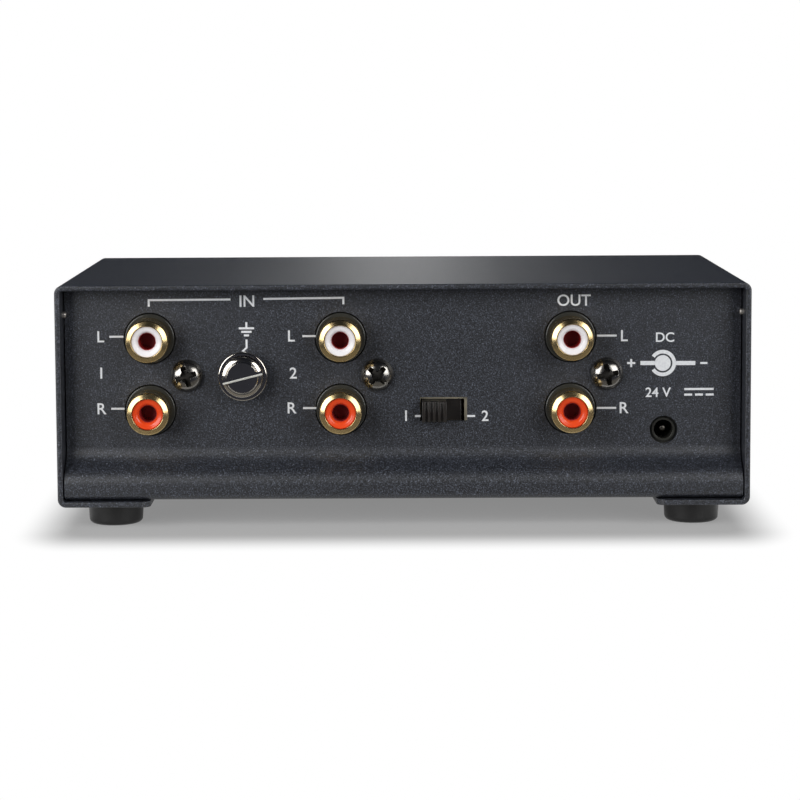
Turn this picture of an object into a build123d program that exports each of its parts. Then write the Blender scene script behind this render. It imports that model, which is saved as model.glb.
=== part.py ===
from build123d import *
from math import atan2, hypot, tan
import os

# Phono preamplifier in a folded steel case, millimetres, +Z up.
# The origin is under the middle of the case, on the table. The rear panel, with its sockets, faces -Y.

# ---------------------------------------------------------------- case
WIDTH = 135.0  # cover, outside
DEPTH = 72.0  # cover, rear edge to front edge
HEIGHT = 48.0  # table to the top of the cover
SHEET = 1.1  # steel of the cover and of the tray
COVER_BEND = 1.6  # outside radius of the cover's folds
FLANGE_WIDTH = 18.0  # the cover's return flanges, under the tray
FLANGE_CORNER = 2.0
TRAY_GAP = 0.25  # between the tray and the cover, all round
RECESS = 4.7  # panel face behind the cover's edge
LIP_INSET = 0.2  # lip face behind the cover's edge
SLOPE_TOP = 13.85  # table to the upper corner of the slope between panel and lip
SLOPE_DROP = 3.15  # down to its lower corner
SLOPE_FLAT = 1.5  # flat between the slope's two bends
TRAY_BEND = 1.5  # outside radius between the base and the lip
STOP_PIP_WIDTH = 1.2  # small stops pressed out of the cover's sides, in front of the panel's ends
STOP_PIP_REACH = 0.7
STOP_PIP_HEIGHT = 42.0

# ---------------------------------------------------------------- feet and their fasteners
FOOT_HEIGHT = 4.5
FOOT_TOP_DIAMETER = 11.0
FOOT_BASE_DIAMETER = 10.5
FOOT_EDGE = 0.2
FOOT_SIDE_INSET = 10.3  # foot centre in from the cover's side
FOOT_INSET = 10.0  # foot centre behind the cover's edge
FOOT_POCKET_DIAMETER = 6.4
FOOT_POCKET_DEPTH = 2.4
FOOT_HOLE_DIAMETER = 3.2
SCREW_DIAMETER = 2.9  # plain stand-in for an M3 thread
SCREW_HOLE_DIAMETER = 3.4
THREAD_DIAMETER = 3.0  # plain hole that stands for the matching M3 thread
SCREW_HEAD_DIAMETER = 5.6  # foot and board screws
SCREW_HEAD = 1.8
FOOT_SCREW_PAST_NUT = 0.5
PRESS_NUT_DIAMETER = 6.0
PRESS_NUT_HEIGHT = 1.6
PILOT_DIAMETER = 4.2  # pressed into the base: nuts and standoffs
PILOT_SHARE = 0.9  # of the sheet
FIT = 0.03  # radial, between round pieces pushed into each other

# ---------------------------------------------------------------- phono sockets
SOCKET_X = {"input_1": -49.54, "input_2": -12.12, "output": 32.81}
SOCKET_DROP = 10.85  # centre of the left channel's socket below the top of the cover
SOCKET_PITCH = 14.13  # down to the right channel's
SOCKET_HOLE_DIAMETER = 10.2
BOSS_DIAMETER = 9.8
BOSS_PROUD = 0.35  # boss face before the panel's face
BOSS_RIM = 0.3
SHELL_REACH = 6.4  # shell front before the panel's face
SHELL_DIAMETER = 8.3
SHELL_BORE = 6.0
SHELL_TAIL_DIAMETER = 7.8  # the part of the shell inside the body
SHELL_RIM = 0.75
SHELL_INNER_RIM = 0.25
INSULATOR_SETBACK = 1.0  # insulator face behind the shell's front
GUIDE_BORE = 3.3
GUIDE_LENGTH = 1.4
GROOVE_RADIUS = 2.35
GROOVE_WIDTH = 0.3
GROOVE_DEPTH = 0.15
CONTACT_DIAMETER = 4.3
CONTACT_BORE = 3.25
STRIP = 0.5  # thickness of contact legs and earth strips
LEG_WIDTH = 1.0
UPPER_LEG_X = 3.4  # leg of the upper contact, beside the lower one
EARTH_LEG_X = -3.4
STRIP_CLEAR = 0.4  # between the earth strip and the contact legs
EARTH_RING_DIAMETER = 8.0
EARTH_BAR_WIDTH = 3.0
BODY_WIDTH = 12.0
BODY_DEPTH = 11.0
BODY_ABOVE = 5.75  # body above the upper socket's centre
BODY_EDGE = 0.4
EAR_X = 7.15  # screw ear, from the socket's centre line
EAR_RISE = 6.82  # above the right channel's socket
EAR_RADIUS = 3.2
EAR_DEPTH = 8.0
PANEL_SCREW_LENGTH = 7.5
PANEL_HEAD_DIAMETER = 6.0
PANEL_HEAD = 2.2

# ---------------------------------------------------------------- earth terminal
EARTH_X = -31.22
EARTH_Z = 29.92
BUSH_FLANGE_DIAMETER = 8.0
BUSH_FLANGE = 1.5
BUSH_DIAMETER = 6.0
BUSH_LENGTH = 5.2  # behind the panel
BUSH_BORE = 4.0
BUSH_HOLE_DIAMETER = 6.1
EARTH_LUG = 0.6
EARTH_LUG_DIAMETER = 10.5
EARTH_LUG_TAIL = 9.5
EARTH_LUG_TAIL_WIDTH = 3.0
EARTH_NUT_FLATS = 9.5
EARTH_NUT = 2.6
WASHER_DIAMETER = 9.6
WASHER = 1.4
WASHER_BORE = 4.0
WASHER_EDGE = 0.25
SEAT_GAP = 0.05  # between bush and washer, and between washer and screw head
THUMB_DIAMETER = 8.5
THUMB_LENGTH = 2.0
THUMB_EDGE = 0.8
THUMB_SHANK_DIAMETER = 3.9  # plain stand-in for an M4 thread
THUMB_SHANK = 8.0
KNURLS = 40
KNURL_RADIUS = 0.22
SLOT_WIDTH = 0.8
SLOT_DEPTH = 0.9
SLOT_TURN = 14.0  # degrees, rising to the right as seen from behind
WIRE_DIAMETER = 1.3
WIRE_BEND = 3.0
WIRE_RUN = 4.0  # straight back from the lug before it turns down

# ---------------------------------------------------------------- slide switch
SLOT_X = 7.96
SLOT_Z = 22.99
SLOT_LENGTH = 9.25
SLOT_HEIGHT = 4.7
KNOB_WIDTH = 4.8
KNOB_HEIGHT = 4.05
KNOB_REACH = 3.0  # before the panel's face
KNOB_RIBS = 5
KNOB_RIB_PITCH = 1.0
KNOB_GROOVE = 0.5  # width and depth of the grooves between the ribs
KNOB_TRAVEL = 3.3
KNOB_END_GAP = 0.25
WINDOW_LEFT = 3.46
WINDOW_Z = 22.75
WINDOW_HEIGHT = 4.32
KNOB_Z = 22.775
FRAME_LENGTH = 15.4
FRAME_HEIGHT = 8.4
FRAME_DEPTH = 6.0
FRAME_SHEET = 0.4
FRAME_LEG_WIDTH = 1.2
SLIDER_PLATE = 1.2
SLIDER_CLEAR = 0.1
SWITCH_BASE = 1.5
BRIDGE_HEIGHT = 1.2
BRIDGE_DEPTH = 1.0
BRIDGE_OVERLAP = 0.3  # past the two terminals that it joins
TERMINAL_ROW = 1.7  # above and below the window's centre
TERMINAL_SIZE = 0.8
TERMINAL_GAP = 0.05  # between bridging contacts and terminals
TERMINAL_BACK = 1.2  # lower row's legs behind the frame
TERMINAL_ROW_STEP = 1.8  # upper row's legs behind the lower row's

# ---------------------------------------------------------------- power socket
POWER_X = 51.1
POWER_Z = 18.7
POWER_HOLE_DIAMETER = 5.5
POWER_WIDTH = 9.0
POWER_DEPTH = 11.5
POWER_CLEAR = 0.1  # body behind the panel
POWER_COLLAR_DIAMETER = 4.6
POWER_COLLAR = 0.5
POWER_BORE = 3.75
POWER_BORE_DEPTH = 10.0
POWER_PIN_DIAMETER = 1.3
POWER_PIN_SETBACK = 1.6  # pin tip behind the collar's face
POWER_SPRING = 0.3
POWER_SPRING_LENGTH = 6.0
POWER_SPRING_HEIGHT = 2.4

# ---------------------------------------------------------------- circuit board
BOARD_SIDE_GAP = 6.15  # board inside the tray's end, each side
BOARD = 1.6
BOARD_BOTTOM = 12.0
BOARD_END_GAP = 0.5  # to the walls in front and behind
PIN_HOLE_DIAMETER = 1.5
PIN_PAST_BOARD = 1.0
STANDOFF_DIAMETER = 5.0
STANDOFF_INSET = 8.0  # from the board's ends
STANDOFF_REAR_INSET = 17.0  # from the rear wall
STANDOFF_FRONT_INSET = 12.4  # from the front wall
BOARD_SCREW_LENGTH = 5.0
LEAD_DIAMETER = 0.7
LEAD_HOLE_DIAMETER = 1.0
LEAD_BEND = 0.8
AXIAL_LIFT = 0.3  # underside of lying components above the board
RESISTOR_DIAMETER = 2.4
RESISTOR_LENGTH = 6.3
RESISTOR_PITCH = 9.0
DIODE_DIAMETER = 2.7
DIODE_LENGTH = 5.2
DIODE_PITCH = 9.0
FILM_SIZE = (7.2, 3.5, 7.5)
FILM_PITCH = 5.0
CAN_EDGE = 0.5
CAN_PITCH = 2.5
COUPLING_DIAMETER = 6.3
COUPLING_HEIGHT = 11.0
SUPPLY_DIAMETER = 10.0
SUPPLY_HEIGHT = 20.0
CHIP_LENGTH = 9.8
CHIP_WIDTH = 6.4
CHIP_HEIGHT = 3.4
CHIP_LIFT = 0.5
CHIP_LEG = 0.5
CHIP_PITCH = 2.54
CHIP_ROWS = 7.62
TRANSISTOR_SIZE = (6.6, 3.6, 4.6)
REGULATOR_SIZE = (10.0, 4.5, 15.0)
# places on the board: columns in tenths of its width from the middle,
# rows in shares of its depth from the rear
RESISTOR_COLUMNS = (-3, -2, -1, 0, 1, 2, 3)
RESISTOR_ROWS = (0.286, 0.68)
DIODE_COLUMN = 3.9
DIODE_ROWS = (0.412, 0.5)
FILM_COLUMNS = (-3.5, -2.5, -1.5, -0.5, 0.5, 1.5, 2.5, 3.5)
FILM_ROW = 0.58
COUPLING_COLUMNS = (-3, -2, -1, 0)
COUPLING_ROW = 0.815
SUPPLY_COLUMNS = (2.2, 3.3)
SUPPLY_ROW = 0.83
CHIP_COLUMNS = (-3.2, -1.2, 0.8, 2.8)
TRANSISTOR_COLUMNS = (-4.25, -2.2, -0.2, 1.8)
CHIP_ROW = 0.43
REGULATOR_COLUMN = 1.1
LAMP_LEAD_DIAMETER = 0.5

# ---------------------------------------------------------------- power lamp
LAMP_INSET = 17.5  # from the cover's side
LAMP_Z = 30.0
LAMP_DIAMETER = 3.0
LAMP_REACH = 1.2  # dome before the front wall's face
LAMP_LENGTH = 5.0
LAMP_PIN_PITCH = 2.54
LAMP_LEAD_RUN = 4.0
HOLDER_BORE = 3.1
HOLDER_DIAMETER = 5.0
HOLDER_FLANGE_DIAMETER = 6.4
HOLDER_FLANGE = 0.6
HOLDER_HOLE_DIAMETER = 5.1

# ---------------------------------------------------------------- places worked out from the sizes
JACK_REACH = SHELL_REACH - RECESS
REAR_EDGE = (JACK_REACH - DEPTH) / 2
FRONT_EDGE = (JACK_REACH + DEPTH) / 2
PANEL_FACE = REAR_EDGE + RECESS
PANEL_BACK = PANEL_FACE + SHEET
FRONT_FACE = FRONT_EDGE - RECESS
FRONT_BACK = FRONT_FACE - SHEET
LIP_FACE = REAR_EDGE + LIP_INSET
FRONT_LIP_FACE = FRONT_EDGE - LIP_INSET
STEP = RECESS - LIP_INSET
SLOPE_BOTTOM = SLOPE_TOP - SLOPE_DROP
SLOPE_BEND = (hypot(STEP, SLOPE_DROP) - SLOPE_FLAT) / 2 / tan(atan2(STEP, SLOPE_DROP) / 2)
COVER_BOTTOM = FOOT_HEIGHT
TRAY_BOTTOM = COVER_BOTTOM + SHEET + TRAY_GAP
TRAY_FLOOR = TRAY_BOTTOM + SHEET
TRAY_TOP = HEIGHT - SHEET - TRAY_GAP
TRAY_WIDTH = WIDTH - 2 * (SHEET + TRAY_GAP)
FOOT_X = WIDTH / 2 - FOOT_SIDE_INSET
FOOT_REAR_Y = REAR_EDGE + FOOT_INSET
FOOT_FRONT_Y = FRONT_EDGE - FOOT_INSET
FOOT_PLACES = {
    "foot_rear_left": (-FOOT_X, FOOT_REAR_Y),
    "foot_rear_right": (FOOT_X, FOOT_REAR_Y),
    "foot_front_left": (-FOOT_X, FOOT_FRONT_Y),
    "foot_front_right": (FOOT_X, FOOT_FRONT_Y),
}
SOCKET_HIGH = HEIGHT - SOCKET_DROP
SOCKET_LOW = SOCKET_HIGH - SOCKET_PITCH
EAR_Z = SOCKET_LOW + EAR_RISE
SHELL_FRONT = PANEL_FACE - SHELL_REACH
BOSS_FACE = PANEL_FACE - BOSS_PROUD
BODY_REAR = PANEL_BACK + BODY_DEPTH
INSULATOR_FACE = SHELL_FRONT + INSULATOR_SETBACK
INSULATOR_END = BODY_REAR + STRIP + STRIP_CLEAR
CONTACT_FRONT = INSULATOR_FACE + GUIDE_LENGTH
BOARD_TOP = BOARD_BOTTOM + BOARD
PIN_END = BOARD_BOTTOM - PIN_PAST_BOARD
BOARD_REAR = PANEL_BACK + BOARD_END_GAP
BOARD_FRONT = FRONT_BACK - BOARD_END_GAP
BOARD_WIDTH = TRAY_WIDTH - 2 * BOARD_SIDE_GAP
STANDOFF_X = BOARD_WIDTH / 2 - STANDOFF_INSET
STANDOFF_YS = (PANEL_BACK + STANDOFF_REAR_INSET, FRONT_BACK - STANDOFF_FRONT_INSET)
STANDOFF_PLACES = [(x, y) for x in (-STANDOFF_X, STANDOFF_X) for y in STANDOFF_YS]
LAMP_X = LAMP_INSET - WIDTH / 2
WINDOW_WIDTH = KNOB_WIDTH + KNOB_TRAVEL + 2 * KNOB_END_GAP
WINDOW_X = WINDOW_LEFT + WINDOW_WIDTH / 2
KNOB_X = WINDOW_LEFT + KNOB_END_GAP + KNOB_WIDTH / 2
FRAME_BACK = PANEL_BACK + FRAME_DEPTH
SLIDER_FRONT = PANEL_BACK + FRAME_SHEET + SLIDER_CLEAR
SLIDER_BACK = SLIDER_FRONT + SLIDER_PLATE
BRIDGE_BACK = SLIDER_BACK + BRIDGE_DEPTH
TERMINAL_FRONT = BRIDGE_BACK + TERMINAL_GAP
POWER_FRONT = PANEL_BACK + POWER_CLEAR
POWER_COLLAR_FACE = POWER_FRONT - POWER_COLLAR
POWER_BORE_END = POWER_COLLAR_FACE + POWER_BORE_DEPTH
POWER_BACK = POWER_FRONT + POWER_DEPTH
POWER_TOP = 2 * POWER_Z - BOARD_TOP
WASHER_BACK = PANEL_FACE - BUSH_FLANGE - SEAT_GAP
THUMB_SEAT = WASHER_BACK - WASHER - SEAT_GAP
THUMB_FRONT = THUMB_SEAT - THUMB_LENGTH



def board_places(columns, rows):
    """Places on the board, from columns in tenths of its width and rows in shares of its depth."""
    depth = BOARD_FRONT - BOARD_REAR
    return [(column * BOARD_WIDTH / 10, BOARD_REAR + row * depth) for column in columns for row in rows]


RESISTOR_PLACES = board_places(RESISTOR_COLUMNS, RESISTOR_ROWS)
DIODE_PLACES = board_places([DIODE_COLUMN], DIODE_ROWS)
FILM_PLACES = board_places(FILM_COLUMNS, [FILM_ROW])
COUPLING_PLACES = board_places(COUPLING_COLUMNS, [COUPLING_ROW])
SUPPLY_PLACES = board_places(SUPPLY_COLUMNS, [SUPPLY_ROW])
CHIP_PLACES = board_places(CHIP_COLUMNS, [CHIP_ROW])
TRANSISTOR_PLACES = board_places(TRANSISTOR_COLUMNS, [CHIP_ROW])
REGULATOR_PLACE = board_places([REGULATOR_COLUMN], [COUPLING_ROW])[0]

os.makedirs("parts", exist_ok=True)


def save(piece, name):
    """Label a finished piece and write it to its own file."""
    piece.label = name
    export_step(piece, f"parts/{name}.step")


def rear_view(y):
    """Sketch plane at depth y: its x is +X, its y is +Z, and it is extruded towards the rear, -Y."""
    return Plane.XZ.offset(-y)


def folded_sheet(points, bends, inward):
    """Section of a folded sheet from its outside line, with each bend's outside or inside radius."""
    with BuildLine() as section:
        outside = FilletPolyline(*points, radius=bends)
        offset(outside, amount=SHEET, side=inward)
    return section.line.edges()


def pan_screw(plane, head_diameter, head_height, shank, length):
    """Cross-head pan screw whose head stands on the plane and whose shank goes down through it."""
    with BuildPart() as screw:
        with BuildSketch(plane):
            Circle(head_diameter / 2)
        extrude(amount=head_height)
        top = screw.faces().sort_by(Axis(plane.origin, plane.z_dir))[-1]
        fillet(top.edges(), radius=head_height * 0.75)
        with BuildSketch(plane):
            Circle(shank / 2)
        extrude(amount=-length)
        with BuildSketch(plane.offset(head_height)):
            Rectangle(head_diameter * 0.55, head_diameter * 0.15)
            Rectangle(head_diameter * 0.15, head_diameter * 0.55)
            Circle(head_diameter * 0.14)
        extrude(amount=-head_height * 0.6, mode=Mode.SUBTRACT)
    return screw.part


# ================================================================ case cover
with BuildPart() as case_cover:
    side, low, high = WIDTH / 2, COVER_BOTTOM, HEIGHT
    flange_end = side - FLANGE_WIDTH
    with BuildSketch(rear_view(FRONT_EDGE)):
        left_half = [(-flange_end, low), (-side, low), (-side, high)]
        right_half = [(side, high), (side, low), (flange_end, low)]
        make_face(folded_sheet(left_half + right_half, COVER_BEND, Side.RIGHT))
    extrude(amount=DEPTH)
    flange_tips = (
        case_cover.edges()
        .filter_by(Axis.Z)
        .filter_by(lambda edge: abs(abs(edge.center().X) - flange_end) < SHEET / 2)
    )
    fillet(flange_tips, radius=FLANGE_CORNER)
    with BuildSketch(Plane.XY.offset(COVER_BOTTOM)):
        with Locations(*FOOT_PLACES.values()):
            Circle(SCREW_HOLE_DIAMETER / 2)
    extrude(amount=SHEET, mode=Mode.SUBTRACT)
    # four small stops, pressed inwards in front of the ends of the two walls
    inner = WIDTH / 2 - SHEET
    for y in (PANEL_FACE - TRAY_GAP - STOP_PIP_WIDTH / 2, FRONT_FACE + TRAY_GAP + STOP_PIP_WIDTH / 2):
        for sign in (-1, 1):
            with BuildSketch(Plane.YZ.offset(sign * (inner - STOP_PIP_REACH))):
                with Locations((y, STOP_PIP_HEIGHT)):
                    Circle(STOP_PIP_WIDTH / 2)
            extrude(amount=sign * STOP_PIP_REACH)
save(case_cover.part, "case_cover")

# ================================================================ chassis tray
LAMP_PLACE = (LAMP_X, LAMP_Z)
with BuildPart() as chassis_tray:
    with BuildSketch(Plane.YZ):
        heights = [TRAY_TOP, SLOPE_TOP, SLOPE_BOTTOM, TRAY_BOTTOM]
        rear_half = list(zip([PANEL_FACE, PANEL_FACE, LIP_FACE, LIP_FACE], heights))
        front_half = list(zip([FRONT_FACE, FRONT_FACE, FRONT_LIP_FACE, FRONT_LIP_FACE], heights))
        bends = [SLOPE_BEND, SLOPE_BEND, TRAY_BEND]
        make_face(folded_sheet(rear_half + front_half[::-1], bends + bends[::-1], Side.LEFT))
    extrude(amount=TRAY_WIDTH / 2, both=True)
    with BuildSketch(rear_view(PANEL_BACK)):
        with Locations(*[(x, z) for x in SOCKET_X.values() for z in (SOCKET_LOW, SOCKET_HIGH)]):
            Circle(SOCKET_HOLE_DIAMETER / 2)
        with Locations(*[(x + EAR_X, EAR_Z) for x in SOCKET_X.values()]):
            Circle(SCREW_HOLE_DIAMETER / 2)
        with Locations((EARTH_X, EARTH_Z)):
            Circle(BUSH_HOLE_DIAMETER / 2)
        with Locations((SLOT_X, SLOT_Z)):
            Rectangle(SLOT_LENGTH, SLOT_HEIGHT)
        with Locations((POWER_X, POWER_Z)):
            Circle(POWER_HOLE_DIAMETER / 2)
    extrude(amount=SHEET, mode=Mode.SUBTRACT)
    with BuildSketch(rear_view(FRONT_FACE)):
        with Locations(LAMP_PLACE):
            Circle(HOLDER_HOLE_DIAMETER / 2)
    extrude(amount=SHEET, mode=Mode.SUBTRACT)
    with BuildSketch(Plane.XY.offset(TRAY_BOTTOM)):
        with Locations(*FOOT_PLACES.values(), *STANDOFF_PLACES):
            Circle(PILOT_DIAMETER / 2 + FIT)
    extrude(amount=SHEET, mode=Mode.SUBTRACT)
save(chassis_tray.part, "chassis_tray")

# ================================================================ feet, foot screws, press nuts
for name, (x, y) in FOOT_PLACES.items():
    with BuildPart() as foot:
        with BuildSketch(Plane((x, y, 0))):
            Circle(FOOT_BASE_DIAMETER / 2)
        with BuildSketch(Plane((x, y, FOOT_HEIGHT))):
            Circle(FOOT_TOP_DIAMETER / 2)
        loft()
        fillet(foot.edges().group_by(Axis.Z)[0], radius=FOOT_EDGE)
        with BuildSketch(Plane((x, y, 0))):
            Circle(FOOT_POCKET_DIAMETER / 2)
        extrude(amount=FOOT_POCKET_DEPTH, mode=Mode.SUBTRACT)
        with BuildSketch(Plane((x, y, FOOT_POCKET_DEPTH))):
            Circle(FOOT_HOLE_DIAMETER / 2)
        extrude(amount=FOOT_HEIGHT - FOOT_POCKET_DEPTH, mode=Mode.SUBTRACT)
    save(foot.part, name)

FOOT_SCREW_LENGTH = TRAY_FLOOR + PRESS_NUT_HEIGHT + FOOT_SCREW_PAST_NUT - FOOT_POCKET_DEPTH
FACING_DOWN = Plane((0, 0, 0), x_dir=(1, 0, 0), z_dir=(0, 0, -1))
foot_screw = pan_screw(FACING_DOWN, SCREW_HEAD_DIAMETER, SCREW_HEAD, SCREW_DIAMETER, FOOT_SCREW_LENGTH)
with BuildPart() as foot_screws:
    with Locations(*[(x, y, FOOT_POCKET_DEPTH) for x, y in FOOT_PLACES.values()]):
        add(foot_screw)
save(foot_screws.part, "foot_screws")

with BuildPart() as press_nuts:
    for x, y in FOOT_PLACES.values():
        with BuildSketch(Plane((x, y, TRAY_FLOOR))):
            Circle(PRESS_NUT_DIAMETER / 2)
        extrude(amount=PRESS_NUT_HEIGHT)
        with BuildSketch(Plane((x, y, TRAY_FLOOR))):
            Circle(PILOT_DIAMETER / 2)
        extrude(amount=-SHEET * PILOT_SHARE)
        with BuildSketch(Plane((x, y, TRAY_BOTTOM))):
            Circle(THREAD_DIAMETER / 2)
        extrude(amount=SHEET + PRESS_NUT_HEIGHT, mode=Mode.SUBTRACT)
save(press_nuts.part, "foot_press_nuts")


# ================================================================ phono sockets
def socket_body(x):
    """Moulded body of a double socket: block on the board, two bosses in the panel, one screw ear."""
    with BuildPart() as body:
        with BuildSketch(rear_view(BODY_REAR)):
            top = SOCKET_HIGH + BODY_ABOVE
            with Locations((x, (BOARD_TOP + top) / 2)):
                RectangleRounded(BODY_WIDTH, top - BOARD_TOP, BODY_EDGE)
        extrude(amount=BODY_DEPTH)
        with BuildSketch(rear_view(PANEL_BACK + EAR_DEPTH)):
            with Locations((x + EAR_X, EAR_Z)):
                Circle(EAR_RADIUS)
            with Locations((x + EAR_X / 2, EAR_Z)):
                Rectangle(EAR_X, 2 * EAR_RADIUS)
        extrude(amount=EAR_DEPTH)
        with BuildSketch(rear_view(PANEL_BACK)):
            with Locations((x, SOCKET_LOW), (x, SOCKET_HIGH)):
                Circle(BOSS_DIAMETER / 2)
        extrude(amount=PANEL_BACK - BOSS_FACE)
        fillet(body.edges().group_by(Axis.Y)[0], radius=BOSS_RIM)
        with BuildSketch(rear_view(BODY_REAR)):
            with Locations((x, SOCKET_LOW), (x, SOCKET_HIGH)):
                Circle(SHELL_TAIL_DIAMETER / 2 + FIT)
        extrude(amount=BODY_REAR - BOSS_FACE, mode=Mode.SUBTRACT)
        with BuildSketch(rear_view(PANEL_BACK + EAR_DEPTH)):
            with Locations((x + EAR_X, EAR_Z)):
                Circle(THREAD_DIAMETER / 2)
        extrude(amount=EAR_DEPTH, mode=Mode.SUBTRACT)
    return body.part


def socket_shell(x, z):
    """Gold-plated shell: a tube with a rounded rim and a shoulder that seats on the boss."""
    with BuildPart() as shell:
        with BuildSketch(rear_view(BOSS_FACE)):
            with Locations((x, z)):
                Circle(SHELL_DIAMETER / 2)
        extrude(amount=BOSS_FACE - SHELL_FRONT)
        with BuildSketch(rear_view(BODY_REAR)):
            with Locations((x, z)):
                Circle(SHELL_TAIL_DIAMETER / 2)
        extrude(amount=BODY_REAR - BOSS_FACE)
        with BuildSketch(rear_view(BODY_REAR)):
            with Locations((x, z)):
                Circle(SHELL_BORE / 2)
        extrude(amount=BODY_REAR - SHELL_FRONT, mode=Mode.SUBTRACT)
        rim = shell.edges().group_by(Axis.Y)[0].sort_by(SortBy.LENGTH)
        fillet(rim[-1], radius=SHELL_RIM)
        fillet(rim[0], radius=SHELL_INNER_RIM)
    return shell.part


def socket_insulator(x, z):
    """Coloured insulator: its guide hole leads the plug's pin into the contact behind it."""
    with BuildPart() as insulator:
        with BuildSketch(rear_view(INSULATOR_END)):
            with Locations((x, z)):
                Circle(SHELL_BORE / 2 - FIT)
                Circle(CONTACT_DIAMETER / 2 + FIT, mode=Mode.SUBTRACT)
        extrude(amount=INSULATOR_END - CONTACT_FRONT)
        with BuildSketch(rear_view(CONTACT_FRONT)):
            with Locations((x, z)):
                Circle(SHELL_BORE / 2 - FIT)
                Circle(GUIDE_BORE / 2, mode=Mode.SUBTRACT)
        extrude(amount=GUIDE_LENGTH)
        with BuildSketch(rear_view(INSULATOR_FACE)):
            with Locations((x, z)):
                Circle(GROOVE_RADIUS + GROOVE_WIDTH / 2)
                Circle(GROOVE_RADIUS - GROOVE_WIDTH / 2, mode=Mode.SUBTRACT)
        extrude(amount=-GROOVE_DEPTH, mode=Mode.SUBTRACT)
    return insulator.part


def socket_contact(x, z, leg_x):
    """Centre contact: a sleeve for the plug's pin, closed behind, with a leg down through the board."""
    with BuildPart() as contact:
        with BuildSketch(rear_view(INSULATOR_END)):
            with Locations((x, z)):
                Circle(CONTACT_DIAMETER / 2)
                Circle(CONTACT_BORE / 2, mode=Mode.SUBTRACT)
        extrude(amount=INSULATOR_END - CONTACT_FRONT - FIT)
        with BuildSketch(rear_view(INSULATOR_END + STRIP)):
            with Locations((x, z)):
                Circle(CONTACT_DIAMETER / 2)
            with Locations((x + leg_x / 2, z)):
                Rectangle(abs(leg_x) + LEG_WIDTH, LEG_WIDTH)
            with Locations((x + leg_x, (z + PIN_END) / 2)):
                Rectangle(LEG_WIDTH, z - PIN_END)
        extrude(amount=STRIP)
    return contact.part


for name, x in SOCKET_X.items():
    save(socket_body(x), f"{name}_body")
    save(socket_shell(x, SOCKET_HIGH), f"{name}_shell_left")
    save(socket_shell(x, SOCKET_LOW), f"{name}_shell_right")
    save(socket_insulator(x, SOCKET_HIGH), f"{name}_insulator_left")
    save(socket_insulator(x, SOCKET_LOW), f"{name}_insulator_right")
    with BuildPart() as contacts:
        add(socket_contact(x, SOCKET_HIGH, UPPER_LEG_X))
        add(socket_contact(x, SOCKET_LOW, 0))
    save(contacts.part, f"{name}_contacts")

with BuildPart() as earth_strips:
    with BuildSketch(rear_view(BODY_REAR + STRIP)):
        for x in SOCKET_X.values():
            with Locations((x, SOCKET_LOW), (x, SOCKET_HIGH)):
                Circle(EARTH_RING_DIAMETER / 2)
            with Locations((x, (SOCKET_LOW + SOCKET_HIGH) / 2)):
                Rectangle(EARTH_BAR_WIDTH, SOCKET_PITCH)
            with Locations((x + EARTH_LEG_X, (SOCKET_LOW + PIN_END) / 2)):
                Rectangle(LEG_WIDTH, SOCKET_LOW - PIN_END)
            with Locations((x, SOCKET_LOW), (x, SOCKET_HIGH)):
                Circle(SHELL_BORE / 2 + FIT, mode=Mode.SUBTRACT)
    extrude(amount=STRIP)
save(earth_strips.part, "socket_earth_strips")

panel_screw = pan_screw(Plane.XZ, PANEL_HEAD_DIAMETER, PANEL_HEAD, SCREW_DIAMETER, PANEL_SCREW_LENGTH)
with BuildPart() as panel_screws:
    with Locations(*[(x + EAR_X, PANEL_FACE, EAR_Z) for x in SOCKET_X.values()]):
        add(panel_screw)
save(panel_screws.part, "socket_screws")

# ================================================================ earth terminal
EARTH_PLACE = (EARTH_X, EARTH_Z)
with BuildPart() as earth_bush:
    with BuildSketch(rear_view(PANEL_FACE)):
        with Locations(EARTH_PLACE):
            Circle(BUSH_FLANGE_DIAMETER / 2)
    extrude(amount=BUSH_FLANGE)
    fillet(earth_bush.edges().group_by(Axis.Y)[0], radius=BUSH_FLANGE * 0.4)
    with BuildSketch(rear_view(PANEL_BACK + BUSH_LENGTH)):
        with Locations(EARTH_PLACE):
            Circle(BUSH_DIAMETER / 2)
    extrude(amount=BUSH_LENGTH + SHEET)
    with BuildSketch(rear_view(PANEL_BACK + BUSH_LENGTH)):
        with Locations(EARTH_PLACE):
            Circle(BUSH_BORE / 2)
    extrude(amount=BUSH_LENGTH + SHEET + BUSH_FLANGE, mode=Mode.SUBTRACT)
save(earth_bush.part, "earth_bush")

with BuildPart() as earth_lug:
    with BuildSketch(rear_view(PANEL_BACK + EARTH_LUG)):
        with Locations(EARTH_PLACE):
            Circle(EARTH_LUG_DIAMETER / 2)
        with Locations((EARTH_X, EARTH_Z - EARTH_LUG_TAIL / 2)):
            Rectangle(EARTH_LUG_TAIL_WIDTH, EARTH_LUG_TAIL)
        with Locations(EARTH_PLACE):
            Circle(BUSH_HOLE_DIAMETER / 2, mode=Mode.SUBTRACT)
    extrude(amount=EARTH_LUG)
save(earth_lug.part, "earth_lug")

with BuildPart() as earth_nut:
    with BuildSketch(rear_view(PANEL_BACK + EARTH_LUG + EARTH_NUT)):
        with Locations(EARTH_PLACE):
            RegularPolygon(EARTH_NUT_FLATS / 2, 6, major_radius=False)
            Circle(BUSH_DIAMETER / 2 + FIT, mode=Mode.SUBTRACT)
    extrude(amount=EARTH_NUT)
save(earth_nut.part, "earth_nut")

with BuildPart() as earth_washer:
    with BuildSketch(rear_view(WASHER_BACK)):
        with Locations(EARTH_PLACE):
            Circle(WASHER_DIAMETER / 2)
    extrude(amount=WASHER)
    fillet(earth_washer.edges().group_by(Axis.Y)[0], radius=WASHER_EDGE)
    with BuildSketch(rear_view(WASHER_BACK)):
        with Locations(EARTH_PLACE):
            Circle(WASHER_BORE / 2)
    extrude(amount=WASHER, mode=Mode.SUBTRACT)
save(earth_washer.part, "earth_washer")

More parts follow.
